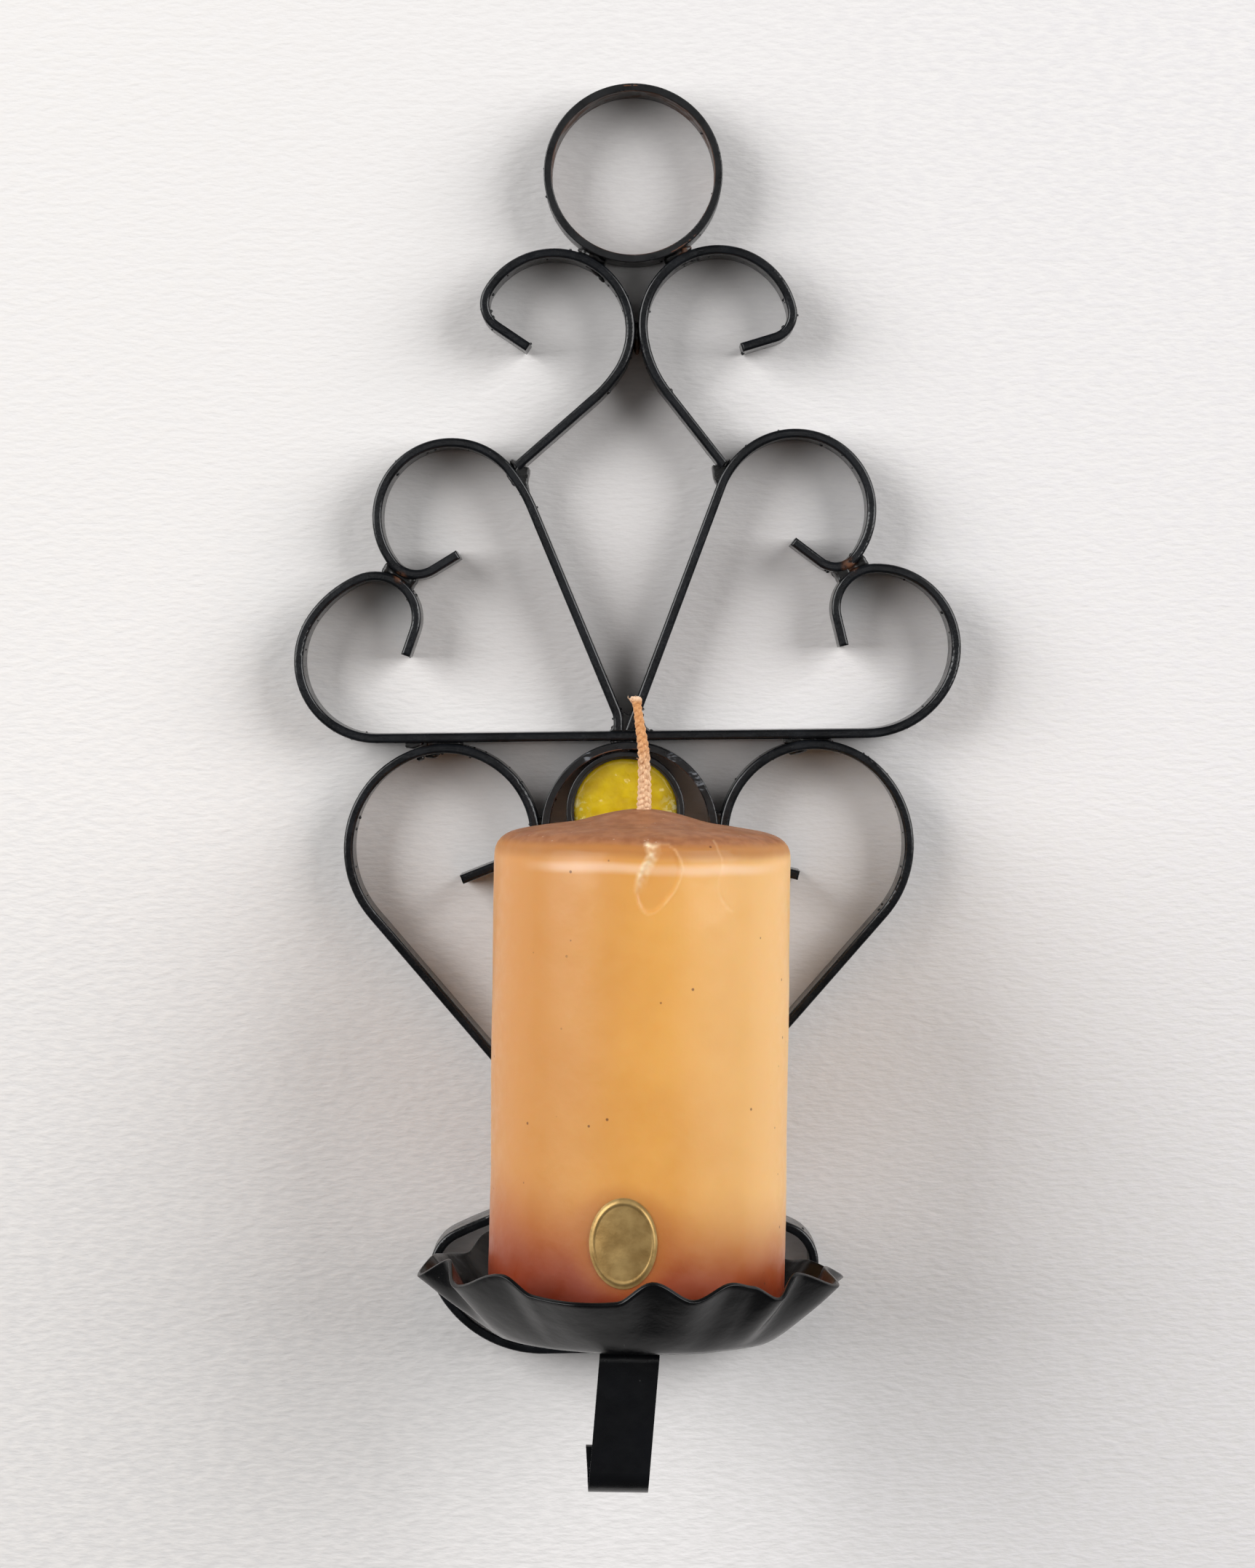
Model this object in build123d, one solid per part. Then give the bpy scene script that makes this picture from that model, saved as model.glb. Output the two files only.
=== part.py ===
"""Wall candle holder of wrought strip iron with a glass roundel, a ruffled drip plate and a pillar candle.

Millimetres. X points right, Y into the wall, Z up. The origin is the centre of the hanging ring, on the
wall plane. Every scroll is one flat strip that stands on edge against the wall, bent from straight runs
and arcs. Left and right were bent by hand, so each side keeps its own bends.
"""
import os
from dataclasses import dataclass
from math import acos, copysign, cos, degrees, radians, sin, sqrt, tan

from build123d import *

os.makedirs("parts", exist_ok=True)

# The flat strip that all scrolls are bent from
strip_width = 12.0
strip_thickness = 2.0
strip_edge_radius = 0.6

# Welded joints: the gap left between two pieces, and the bead that fills it
ring_gap = 1.0
upper_gap = 0.7
lower_gap = 0.3
bead_length = 7.0
bead_height = 2.6
bead_setback = 1.5

# Hanging ring and the rings of the glass, all sawn from tube
ring_radius = 19.2
ring_wall = 1.7
sawn_edge_radius = 0.25
glass_ring_radius = 19.0
glass_ring_offset = -1.0
bezel_radius = 12.7
bezel_wall = 1.2
bezel_angle = 102.0
glass_thickness = 3.0
glass_setback = 2.5
cement_thickness = 0.35

# Where the big pieces sit across from the ring centre and below it
pair_offset = 0.75
crossbar_drop = 120.8
crossbar_tilt = 0.62
crossbar_left = 55.1
crossbar_right = 50.3
middle_foot_left = -3.2
middle_foot_right = -1.2

# Closed loop at the bottom, half of it from the middle of its foot round to the middle of its crown
loop_drop = 218.5
loop_offset = -1.6
loop_tilt = 1.0
loop_flat = 34.8
loop_low_radius = 25.0
loop_low_turn = 65.0
loop_corner_radius = 8.0
loop_crown_turn = 25.0

# Bracket that carries the plate: a second strip, bent in the upright plane through the middle
arm_offset = -1.2
arm_thickness = 2.0
arm_rear = 1.0
arm_ramp_gap = 2.0
arm_ramp_angle = 40.0
arm_rise = 7.4
arm_bend_radius = 4.0
arm_overhang = 19.0
fold_radius = 2.2
tail_height = 30.0
tail_lean = 4.0
curl_radius = 3.6
curl_end = 4.0

# Ruffled drip plate, which leans a little with everything that stands on it
cup_lean = 0.8
plate_offset = 0.4
plate_clearance = 1.0
plate_foot_clearance = 1.8
plate_flare = 13.5
plate_height = 15.4
plate_thickness = 1.2
ruffle_depth = 1.0
scallop_depth = 1.0
scallop_width = 0.85
# Crests and troughs of the rim: angle, how far it bulges out, how deep it is cut down
rim_waves = [
    (15, 4.8, 5.0), (28, -1.5, 0), (40, 2.4, 4.4), (55, 0.5, 0), (70, 2.2, 3.6), (85, 0.0, 0),
    (100, 1.2, 3.5), (128, 1.0, 0), (149, 1.4, 3.2), (172, -0.6, 0), (185, 5.5, 3.8), (198, -2.6, 0),
    (214, 2.8, 3.5), (232, 0.2, 0), (251, 3.6, 3.8), (272, 0.6, 0), (285, 2.5, 3.3), (298, -0.6, 0),
    (311, 2.6, 3.9), (323, -1.5, 0), (337, 3.5, 3.3), (355, -3.6, 0),
]

# Pricket that rivets the plate to the arm and holds the candle
pricket_radius = 2.0
pricket_height = 12.0
pricket_tip_radius = 0.3
collar_radius = 3.2
collar_height = 0.8
head_radius = 4.0
head_height = 1.4
rivet_clearance = 0.05
candle_clearance = 0.4

# Candle, wick and seal
candle_radius = 30.2
candle_height = 101.0
candle_cone = 4.7
candle_shoulder = 6.5
candle_bevel = 2.5
wick_radius = 1.35
wick_depth = 12.0
wick_length = 23.0
wick_bend_radius = 60.0
wick_lean = 6.0
seal_width = 13.5
seal_height = 18.0
seal_thickness = 0.15
seal_rise = 21.0
seal_offset = -2.8


@dataclass
class Scroll:
    """Bends of one scroll, from its free tip: straight tip, hook, bow, ease and leg.

    Radii run to the middle of the strip. A scroll with hand 1 bends anticlockwise all the way from its
    tip, and one with hand -1 clockwise. The leg is longer than it needs to be and is trimmed at its seat,
    and it may end in a short straight foot.
    """
    hand: int
    tip: float
    hook_radius: float
    hook_turn: float
    bow_radius: float
    bow_turn: float
    ease_radius: float
    ease_turn: float
    leg: float = 0.0
    leg_heading: float = 0.0
    foot_radius: float = 0.0
    foot_turn: float = 0.0
    foot: float = 0.0


# Upper pair: the hooks curl outwards and the legs run down to the shoulders of the middle pair
upper_left = Scroll(-1, tip=8.2, hook_radius=5.7, hook_turn=87, bow_radius=16.4, bow_turn=183,
                    ease_radius=29.0, ease_turn=15, leg=40.0, leg_heading=-138.8)
upper_right = Scroll(1, tip=7.5, hook_radius=5.3, hook_turn=86, bow_radius=16.2, bow_turn=173,
                     ease_radius=25.0, ease_turn=32.2, leg=40.0, leg_heading=-51.9)

# Middle pair: the legs meet on the crossbar, and their lean follows from the curls of the base scroll
middle_left = Scroll(-1, tip=6.4, hook_radius=6.6, hook_turn=84, bow_radius=16.0, bow_turn=179,
                     ease_radius=34.0, ease_turn=16, leg=47.0, foot_radius=6.0, foot_turn=22, foot=3.2)
middle_right = Scroll(1, tip=7.4, hook_radius=5.3, hook_turn=88, bow_radius=16.4, bow_turn=162,
                      ease_radius=18.0, ease_turn=36.5, leg=57.2)

# Base scroll: both ends of the crossbar turn up and curl in, here from the tip out to the crossbar
base_left = Scroll(1, tip=5.6, hook_radius=8.9, hook_turn=133, bow_radius=23.4, bow_turn=32,
                   ease_radius=16.6, ease_turn=125)
base_right = Scroll(-1, tip=6.4, hook_radius=8.5, hook_turn=102, bow_radius=17.1, bow_turn=122,
                    ease_radius=19.7, ease_turn=59)

# Lower pair: the hooks turn back out behind the candle and the legs run down to the bottom loop
lower_left = Scroll(1, tip=12.2, hook_radius=6.9, hook_turn=78, bow_radius=19.4, bow_turn=107,
                    ease_radius=21.9, ease_turn=104, leg=95.0, leg_heading=-49.4)
lower_right = Scroll(-1, tip=13.5, hook_radius=3.9, hook_turn=70, bow_radius=19.5, bow_turn=142,
                     ease_radius=22.5, ease_turn=85, leg=95.0, leg_heading=-131.2)

half_strip = strip_thickness / 2
origin = Vector(0, 0)
front = Plane(origin=(0, 0, 0), x_dir=(1, 0, 0), z_dir=(0, -1, 0))
upright = Plane(origin=(0, 0, 0), x_dir=(0, -1, 0), z_dir=(-1, 0, 0))


def polar(length, angle):
    """A step of some length at an angle in degrees."""
    return Vector(length * cos(radians(angle)), length * sin(radians(angle)))


def direction(first, second):
    """Angle in degrees of the line from one point to another."""
    return Vector(1, 0).get_signed_angle(second - first, Vector(0, 0, 1))


def towards(first, second, length):
    """The point at a length from the first point on the line to the second."""
    return first + polar(length, direction(first, second))


def advance(point, heading, size, turn):
    """Follow a straight run of length size, or a bend of radius size through turn degrees."""
    if turn == 0:
        return point + polar(size, heading), heading
    inward = heading + copysign(90, turn)
    return point + polar(size, inward) - polar(size, inward + turn), heading + turn


def follow(point, heading, moves):
    """Point and heading at the end of a list of moves."""
    for size, turn in moves:
        point, heading = advance(point, heading, size, turn)
    return point, heading


def beside(point, heading, offset):
    """The point at an offset to the left of the path."""
    return point + polar(offset, heading + 90)


def flank(point, heading, moves, offset=0.0):
    """Edges of the line that runs beside the path, or of the path itself."""
    edges = []
    for size, turn in moves:
        if size == 0:
            continue
        start = beside(point, heading, offset)
        if turn:
            middle = beside(*advance(point, heading, size, turn / 2), offset)
        point, heading = advance(point, heading, size, turn)
        end = beside(point, heading, offset)
        edges.append(ThreePointArc(start, middle, end) if turn else Line(start, end))
    return edges


def ribbon(point, heading, moves, thickness):
    """Outline of a strip seen on its edge."""
    left = flank(point, heading, moves, thickness / 2)
    right = flank(point, heading, moves, -thickness / 2)
    ends = [Line(left[0] @ 0, right[0] @ 0), Line(left[-1] @ 1, right[-1] @ 1)]
    return make_face(left + right + ends)


def from_wall(face, depth=strip_width, start=0.0):
    """Raise an outline of the panel's plane, from the wall towards the room."""
    return Pos(0, -start, 0) * extrude(front * face, depth, dir=(0, -1, 0))


def soften(body, radius=strip_edge_radius):
    """Round the long edges at the wall and at the front."""
    layers = body.edges().group_by(Axis.Y)
    return fillet(layers[0] + layers[-1], radius)


def largest(shape):
    """The biggest solid of a shape, which drops what a cut leaves beyond a seat."""
    return max(shape.solids(), key=lambda solid: solid.volume)


def trimmed(body, seat):
    """A leg cut off where it comes up to its seat, with its long edges rounded."""
    return largest(soften(body) - seat)


def tube(radius, wall, centre):
    """A ring sawn from tube, as deep as the strip."""
    outline = Pos(centre.X, centre.Y) * (Circle(radius) - Circle(radius - wall))
    return soften(from_wall(outline), sawn_edge_radius)


def bead(centre, angle, length, height, *neighbours):
    """A weld bead: a block in the joint, with the neighbouring pieces taken away."""
    outline = Pos(centre.X, centre.Y) * Rot(0, 0, angle) * Rectangle(length, height)
    block = from_wall(outline, strip_width - 2 * bead_setback, bead_setback)
    for piece in neighbours:
        block -= piece
    return largest(block)


def foot_bead(leg, seat, heading, length, *neighbours):
    """The bead round the foot of a leg that comes down onto its seat at a heading."""
    root = largest(leg & seat).center()
    centre = Vector(root.X, root.Z) - polar(bead_height / 2, heading)
    return bead(centre, heading + 90, length, bead_height, *neighbours)


def bends(scroll):
    """Moves of a whole scroll, from its tip to the end of its leg."""
    return [
        (scroll.tip, 0),
        (scroll.hook_radius, scroll.hand * scroll.hook_turn),
        (scroll.bow_radius, scroll.hand * scroll.bow_turn),
        (scroll.ease_radius, scroll.hand * scroll.ease_turn),
        (scroll.leg, 0),
        (scroll.foot_radius, scroll.hand * scroll.foot_turn),
        (scroll.foot, 0),
    ]


def full_turn(scroll):
    """Degrees that a scroll turns through from its tip to its leg."""
    return scroll.hand * (scroll.hook_turn + scroll.bow_turn + scroll.ease_turn)


def hook_centre(point, heading, scroll):
    """Centre of the hook of a scroll that starts at a point."""
    point, heading = advance(point, heading, scroll.tip, 0)
    return point + polar(scroll.hook_radius, heading + 90 * scroll.hand)


def started(scroll, centre):
    """Start and heading of a scroll whose bow is centred on a point and whose leg has its own heading."""
    heading = scroll.leg_heading - full_turn(scroll)
    point, bow_heading = follow(origin, heading, bends(scroll)[:2])
    return centre - point - polar(scroll.bow_radius, bow_heading + 90 * scroll.hand), heading


def scroll_body(start, scroll, thickness=strip_thickness):
    """A whole scroll with square edges, its leg still long."""
    return from_wall(ribbon(*start, bends(scroll), thickness))


# Base scroll: one strip from curl to curl, with the crossbar between them
def bar_point(across, off=0.0):
    """A point at a distance along the crossbar's middle line, and off to its upper side."""
    return Vector(0, -crossbar_drop) + polar(across, crossbar_tilt) + polar(off, crossbar_tilt + 90)


def curl_start(curl, end, heading):
    """Start and heading of a curl that runs out onto an end of the crossbar."""
    heading -= full_turn(curl)
    reached, _ = follow(origin, heading, bends(curl)[:4])
    return end - reached, heading


curl_left = curl_start(base_left, bar_point(-crossbar_left), crossbar_tilt)
curl_right = curl_start(base_right, bar_point(crossbar_right), crossbar_tilt + 180)
base_moves = bends(base_left)[:4] + [(crossbar_left + crossbar_right, 0)]
base_moves += [(size, -turn) for size, turn in reversed(bends(base_right)[:4])]


def base_body(thickness=strip_thickness):
    """The base scroll with square edges, or a thicker copy that trims what stands on it."""
    return from_wall(ribbon(*curl_left, base_moves, thickness))


# Middle pair: each stands on its foot and leans until its hook comes up to a curl of the base scroll
def settled(scroll, foot, curl_centre, curl_size):
    """Start and heading of a middle scroll."""
    end, _ = follow(origin, 0.0, bends(scroll))
    arm = hook_centre(origin, 0.0, scroll) - end
    span = curl_centre - foot
    apart = scroll.hook_radius + curl_size + strip_thickness + upper_gap
    cosine = (arm.length**2 + span.length**2 - apart**2) / (2 * arm.length * span.length)
    lean = direction(origin, span) + scroll.hand * degrees(acos(cosine))
    heading = lean - direction(origin, arm)
    return foot - end.rotate(Axis.Z, heading), heading


base_hook_left = hook_centre(*curl_left, base_left)
base_hook_right = hook_centre(*curl_right, base_right)
middle_start_left = settled(middle_left, bar_point(middle_foot_left), base_hook_left, base_left.hook_radius)
middle_start_right = settled(middle_right, bar_point(middle_foot_right), base_hook_right,
                             base_right.hook_radius)


# Upper pair: each bow comes up to the hanging ring and to the other bow
def upper_centre(scroll):
    """Centre of an upper bow."""
    across = pair_offset + scroll.hand * (half_strip + upper_gap / 2 + scroll.bow_radius)
    reach = ring_radius + ring_gap + half_strip + scroll.bow_radius
    return Vector(across, -sqrt(reach**2 - across**2))


# Lower pair: each bow comes up to the crossbar and to the side of the glass ring
glass_centre = bar_point(glass_ring_offset, -half_strip - lower_gap - glass_ring_radius)


def lower_centre(scroll):
    """Centre of a lower bow."""
    apart = glass_ring_radius + lower_gap + half_strip + scroll.bow_radius
    level = half_strip + scroll.bow_radius - glass_ring_radius
    across = glass_ring_offset - scroll.hand * sqrt(apart**2 - level**2)
    return bar_point(across, -strip_thickness - lower_gap - scroll.bow_radius)


# Bottom loop: a closed strip, whose crown takes the radius that closes it
loop_corner_turn = 180 - loop_low_turn - loop_crown_turn
loop_side = [(loop_flat / 2, 0), (loop_low_radius, -loop_low_turn), (loop_corner_radius, -loop_corner_turn)]
loop_reach, _ = follow(origin, 180, loop_side)
loop_side.append((-loop_reach.X / sin(radians(loop_crown_turn)), -loop_crown_turn))
loop_top, _ = follow(origin, 180, loop_side)
loop_foot = Vector(loop_offset, -loop_drop - half_strip - loop_top.Y)


def loop_body(thickness=strip_thickness):
    """The bottom loop with square edges, or a thicker copy that trims what stands on it."""
    moves = loop_side + loop_side[::-1]
    outside = make_face(flank(loop_foot, 180 + loop_tilt, moves, thickness / 2))
    inside = make_face(flank(loop_foot, 180 + loop_tilt, moves, -thickness / 2))
    return from_wall(outside - inside)


parts = {
    "hanging_ring": tube(ring_radius, ring_wall, origin),
    "base_scroll": soften(base_body()),
    "bottom_loop": soften(loop_body()),
}


def build_side(side, upper, middle, middle_start, base_hook, base, lower):
    """The three scrolls of one side and the beads that hold them."""
    upper_bow = upper_centre(upper)
    lower_bow = lower_centre(lower)
    upper_leg = scroll_body(started(upper, upper_bow), upper)
    middle_leg = scroll_body(middle_start, middle)
    lower_leg = scroll_body(started(lower, lower_bow), lower)
    shoulder = scroll_body(middle_start, middle, strip_thickness + 2 * upper_gap)
    bar = base_body(strip_thickness + 2 * lower_gap)
    loop = loop_body(strip_thickness + 2 * lower_gap)
    upper_scroll = trimmed(upper_leg, shoulder)
    middle_scroll = trimmed(middle_leg, bar)
    lower_scroll = trimmed(lower_leg, loop)
    ring_joint = towards(origin, upper_bow, ring_radius + ring_gap / 2)
    middle_hook = hook_centre(*middle_start, middle)
    curl_joint = towards(base_hook, middle_hook, base.hook_radius + half_strip + upper_gap / 2)
    side_joint = towards(glass_centre, lower_bow, glass_ring_radius + lower_gap / 2)
    top_joint = towards(lower_bow, lower_bow + polar(1, crossbar_tilt + 90),
                        lower.bow_radius + half_strip + lower_gap / 2)
    parts[f"upper_scroll_{side}"] = upper_scroll
    parts[f"middle_scroll_{side}"] = middle_scroll
    parts[f"lower_scroll_{side}"] = lower_scroll
    parts[f"weld_ring_{side}"] = bead(
        ring_joint, direction(origin, upper_bow) + 90, bead_length, bead_height,
        parts["hanging_ring"], upper_scroll)
    parts[f"weld_shoulder_{side}"] = foot_bead(
        upper_leg, shoulder, upper.leg_heading, bead_length, upper_scroll, middle_scroll)
    parts[f"weld_curl_{side}"] = bead(
        curl_joint, direction(base_hook, middle_hook) + 90, bead_length, bead_height,
        parts["base_scroll"], middle_scroll)
    parts[f"weld_lower_top_{side}"] = bead(
        top_joint, crossbar_tilt, bead_length, bead_height, parts["base_scroll"], lower_scroll)
    parts[f"weld_lower_side_{side}"] = bead(
        side_joint, direction(glass_centre, lower_bow) + 90, bead_length, bead_height,
        parts["glass_ring"], lower_scroll)


# Glass roundel: a disc cemented into a bezel that hangs inside the top of the glass ring
bezel_drop = glass_ring_radius - ring_wall - lower_gap - bezel_radius
bezel_centre = glass_centre + polar(bezel_drop, bezel_angle)
bezel_bore = bezel_radius - bezel_wall
glass_radius = bezel_bore - cement_thickness
glass_start = strip_width - glass_setback - glass_thickness
bezel_place = Pos(bezel_centre.X, bezel_centre.Y)
parts["glass_ring"] = tube(glass_ring_radius, ring_wall, glass_centre)
parts["glass_bezel"] = tube(bezel_radius, bezel_wall, bezel_centre)
parts["glass_disc"] = from_wall(bezel_place * Circle(glass_radius), glass_thickness, glass_start)
parts["glass_cement"] = from_wall(
    bezel_place * (Circle(bezel_bore) - Circle(glass_radius)), glass_thickness, glass_start)

build_side("left", upper_left, middle_left, middle_start_left, base_hook_left, base_left, lower_left)
build_side("right", upper_right, middle_right, middle_start_right, base_hook_right, base_right, lower_right)

pair_middle = (upper_centre(upper_left) + upper_centre(upper_right)) / 2
parts["weld_upper_pair"] = bead(
    Vector(pair_offset, pair_middle.Y), 90, bead_length, bead_height,
    parts["upper_scroll_left"], parts["upper_scroll_right"])
parts["weld_glass_ring"] = bead(
    bar_point(glass_ring_offset, -half_strip - lower_gap / 2), crossbar_tilt, bead_length, bead_height,
    parts["base_scroll"], parts["glass_ring"])
parts["weld_bezel"] = bead(
    glass_centre + polar(glass_ring_radius - ring_wall - lower_gap / 2, bezel_angle), bezel_angle + 90,
    bead_length, bezel_wall, parts["glass_ring"], parts["glass_bezel"])
parts["weld_middle_feet"] = bead(
    bar_point((middle_foot_left + middle_foot_right) / 2, bead_height / 2), crossbar_tilt,
    bead_length + middle_foot_right - middle_foot_left, bead_height,
    parts["base_scroll"], parts["middle_scroll_left"], parts["middle_scroll_right"])
crown_top = Vector(loop_offset, -loop_drop - half_strip + bead_height / 2)
parts["weld_lower_feet"] = bead(
    crown_top, 0, 2 * bead_length, bead_height,
    parts["bottom_loop"], parts["lower_scroll_left"], parts["lower_scroll_right"])

# Bracket: it lies on the loop's foot, steps up, runs out under the plate, folds down and curls back
seat_level = loop_foot.Y + half_strip + lower_gap + arm_thickness / 2
cup = Pos(plate_offset, 0, seat_level) * Rot(0, cup_lean, 0)
plate_seat_radius = candle_radius - candle_bevel + plate_foot_clearance
plate_rim_radius = plate_seat_radius + plate_flare
plate_forward = strip_width + plate_clearance + plate_rim_radius + ruffle_depth
arm_reach = plate_forward + arm_overhang
fold_start = arm_reach - arm_thickness / 2 - fold_radius
bend_rise = 2 * arm_bend_radius * (1 - cos(radians(arm_ramp_angle)))
ramp = (arm_rise - bend_rise) / sin(radians(arm_ramp_angle))
to_ramp = [(strip_width + arm_ramp_gap - arm_rear, 0), (arm_bend_radius, arm_ramp_angle), (ramp, 0),
           (arm_bend_radius, -arm_ramp_angle)]
ramp_end, _ = follow(Vector(arm_rear, 0), 0, to_ramp)
tail_run = tail_height - arm_thickness - fold_radius - curl_radius
bracket_moves = to_ramp + [(fold_start - ramp_end.X, 0), (fold_radius, -90), (tail_run, 0),
                           (curl_radius, -180), (curl_end, 0)]
half_width = strip_width / 2
arm_bottom = arm_rise - arm_thickness / 2
tail_bottom = arm_rise + arm_thickness / 2 - tail_height
curl_forward = fold_start + fold_radius - curl_radius


def leaning(top, bottom, shift_at_top, shift_at_bottom, near, far):
    """A block between two levels whose sides lean, from one distance in front of the wall to another."""
    corners = [(shift_at_top - half_width, top), (shift_at_top + half_width, top),
               (shift_at_bottom + half_width, bottom), (shift_at_bottom - half_width, bottom)]
    return from_wall(make_face(Polyline(*corners, close=True)), far - near, near)


tail_shift = -tan(radians(tail_lean)) * (arm_bottom - tail_bottom)
curl_shift = tail_shift - tan(radians(tail_lean)) * (arm_bottom - tail_bottom)
sheet = extrude(upright * ribbon(Vector(arm_rear, 0), 0, bracket_moves, arm_thickness),
                strip_width + abs(curl_shift), both=True)
envelope = leaning(arm_rise + arm_thickness, arm_bottom, 0, 0, 0, arm_reach + arm_thickness)
envelope += leaning(arm_bottom, -arm_thickness, 0, 0, 0, fold_start / 2)
envelope += leaning(arm_bottom, tail_bottom, 0, tail_shift, curl_forward, arm_reach + arm_thickness)
envelope += leaning(arm_bottom, tail_bottom, curl_shift, tail_shift, fold_start / 2 + arm_thickness,
                    curl_forward)
plate_axis = Pos(0, -plate_forward, arm_rise + arm_thickness / 2)
hole_radius = pricket_radius + rivet_clearance
rivet_hole = plate_axis * Cylinder(hole_radius, 4 * arm_thickness)
parts["bracket"] = cup * (Pos(arm_offset, 0, 0) * largest(sheet & envelope) - rivet_hole)
parts["weld_bracket"] = largest(
    from_wall(Pos(plate_offset + arm_offset, seat_level - arm_thickness / 2) * Rectangle(
        strip_width + bead_height, arm_thickness), strip_width - 2 * bead_setback, bead_setback)
    - parts["bracket"] - parts["bottom_loop"])


# Drip plate: the wall rises from a round seat to a waved rim, and scallops cut the rim down between crests
def dish(level):
    """The plate as a solid body that stands on a level."""
    seat_points = [polar(plate_seat_radius, angle) for angle, bulge, depth in rim_waves]
    rim_points = [polar(plate_rim_radius + ruffle_depth * bulge, angle) for angle, bulge, depth in rim_waves]
    seat_face = make_face(Spline(*seat_points, periodic=True))
    rim_face = Pos(0, 0, plate_height) * make_face(Spline(*rim_points, periodic=True))
    return Pos(0, 0, level) * loft([seat_face, rim_face], ruled=True)


def scallop(trough, crest_before, crest_after):
    """The cylinder that cuts one trough into the rim, as wide as its crests allow."""
    angle, bulge, depth = trough
    depth *= scallop_depth
    apart = (crest_after[0] - crest_before[0]) % 360
    reach = scallop_width * plate_rim_radius * radians(apart) / 2
    radius = (reach**2 + depth**2) / (2 * depth)
    cutter = Pos(plate_rim_radius, 0, plate_height + radius - depth) * Rot(0, 90, 0)
    return Rot(0, 0, angle) * cutter * Cylinder(radius, plate_rim_radius / 2)


plate = dish(0) - dish(plate_thickness)
for row, wave in enumerate(rim_waves):
    if wave[2]:
        plate -= scallop(wave, rim_waves[row - 1], rim_waves[(row + 1) % len(rim_waves)])
plate -= Cylinder(hole_radius, 4 * plate_thickness)
parts["drip_plate"] = cup * plate_axis * plate

# Pricket: head under the arm, shank through arm and plate, collar on the plate, spike in the candle
shank_bottom = -arm_thickness
pricket_outline = Polyline(
    (0, shank_bottom - head_height), (head_radius, shank_bottom - head_height / 2),
    (head_radius, shank_bottom), (pricket_radius, shank_bottom), (pricket_radius, plate_thickness),
    (collar_radius, plate_thickness), (collar_radius, plate_thickness + collar_height),
    (pricket_radius, plate_thickness + collar_height),
    (pricket_tip_radius, plate_thickness + collar_height + pricket_height),
    (0, plate_thickness + collar_height + pricket_height), close=True)
parts["pricket"] = cup * plate_axis * revolve(Plane.XZ * make_face(pricket_outline), Axis.Z)

# Candle with its wick and a plain foil seal
candle_place = cup * plate_axis * Pos(0, 0, plate_thickness)
apex = candle_height + candle_cone
socket_radius = collar_radius + candle_clearance
socket_depth = collar_height + pricket_height + candle_clearance
candle_outline = make_face(Polyline(
    (0, socket_depth), (socket_radius, socket_depth), (socket_radius, 0), (candle_radius - candle_bevel, 0),
    (candle_radius, candle_bevel), (candle_radius, candle_height), (0, apex), close=True))
shoulder_corner = candle_outline.vertices().sort_by_distance((candle_radius, candle_height, 0))[0]
candle_body = revolve(Plane.XZ * fillet(shoulder_corner, candle_shoulder), Axis.Z)
wick_moves = [(wick_depth + wick_radius, 0), (wick_bend_radius, wick_lean)]
wick_bend = wick_bend_radius * radians(wick_lean)
wick_moves.append((wick_length - wick_radius - wick_bend, 0))
wick_edges = flank(Vector(0, apex - wick_depth), 90, wick_moves)
wick_path = Wire([front.from_local_coords(edge) for edge in wick_edges])
wick = sweep(Pos(0, 0, apex - wick_depth) * Circle(wick_radius), wick_path)
parts["wick"] = candle_place * wick
parts["candle"] = candle_place * (candle_body - wick)
seal_outline = Pos(seal_offset, seal_rise) * Ellipse(seal_width / 2, seal_height / 2)
seal_column = from_wall(seal_outline, 2 * candle_radius)
foil = Cylinder(candle_radius + seal_thickness, candle_height) - Cylinder(candle_radius, candle_height)
parts["seal"] = candle_place * (seal_column & (Pos(0, 0, candle_height / 2) * foil))

for name, body in parts.items():
    export_step(body, f"parts/{name}.step")
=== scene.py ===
# %% [markdown]
# # Wall candle holder in Blender
# The holder is bent from flat black strip iron that stands on edge against a wall. It hangs by the ring at
# its top, a yellow glass roundel sits in the middle, and a bracket carries a ruffled drip plate with a
# pillar candle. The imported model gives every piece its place, in metres, with +Z up and +Y into the wall.
# It is loaded first, and everything made here is fitted around it.

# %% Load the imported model
import math
import random

import bmesh
import bpy
from mathutils import Euler, Matrix, Vector, noise


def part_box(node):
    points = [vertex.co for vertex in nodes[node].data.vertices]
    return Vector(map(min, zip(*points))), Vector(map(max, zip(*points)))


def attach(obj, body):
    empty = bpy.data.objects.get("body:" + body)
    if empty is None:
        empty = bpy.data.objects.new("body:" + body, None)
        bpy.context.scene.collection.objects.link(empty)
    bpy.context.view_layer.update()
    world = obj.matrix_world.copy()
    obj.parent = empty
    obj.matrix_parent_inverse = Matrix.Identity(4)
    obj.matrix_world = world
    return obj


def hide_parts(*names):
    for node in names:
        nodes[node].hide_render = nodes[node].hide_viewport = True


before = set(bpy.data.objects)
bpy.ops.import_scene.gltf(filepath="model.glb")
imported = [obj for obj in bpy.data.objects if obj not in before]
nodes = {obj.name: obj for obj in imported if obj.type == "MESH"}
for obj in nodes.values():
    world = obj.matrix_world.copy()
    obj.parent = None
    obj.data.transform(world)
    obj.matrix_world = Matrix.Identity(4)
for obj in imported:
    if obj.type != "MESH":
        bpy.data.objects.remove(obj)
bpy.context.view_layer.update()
MM = 0.001
print("pieces in the packed model:", len(nodes))

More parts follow.
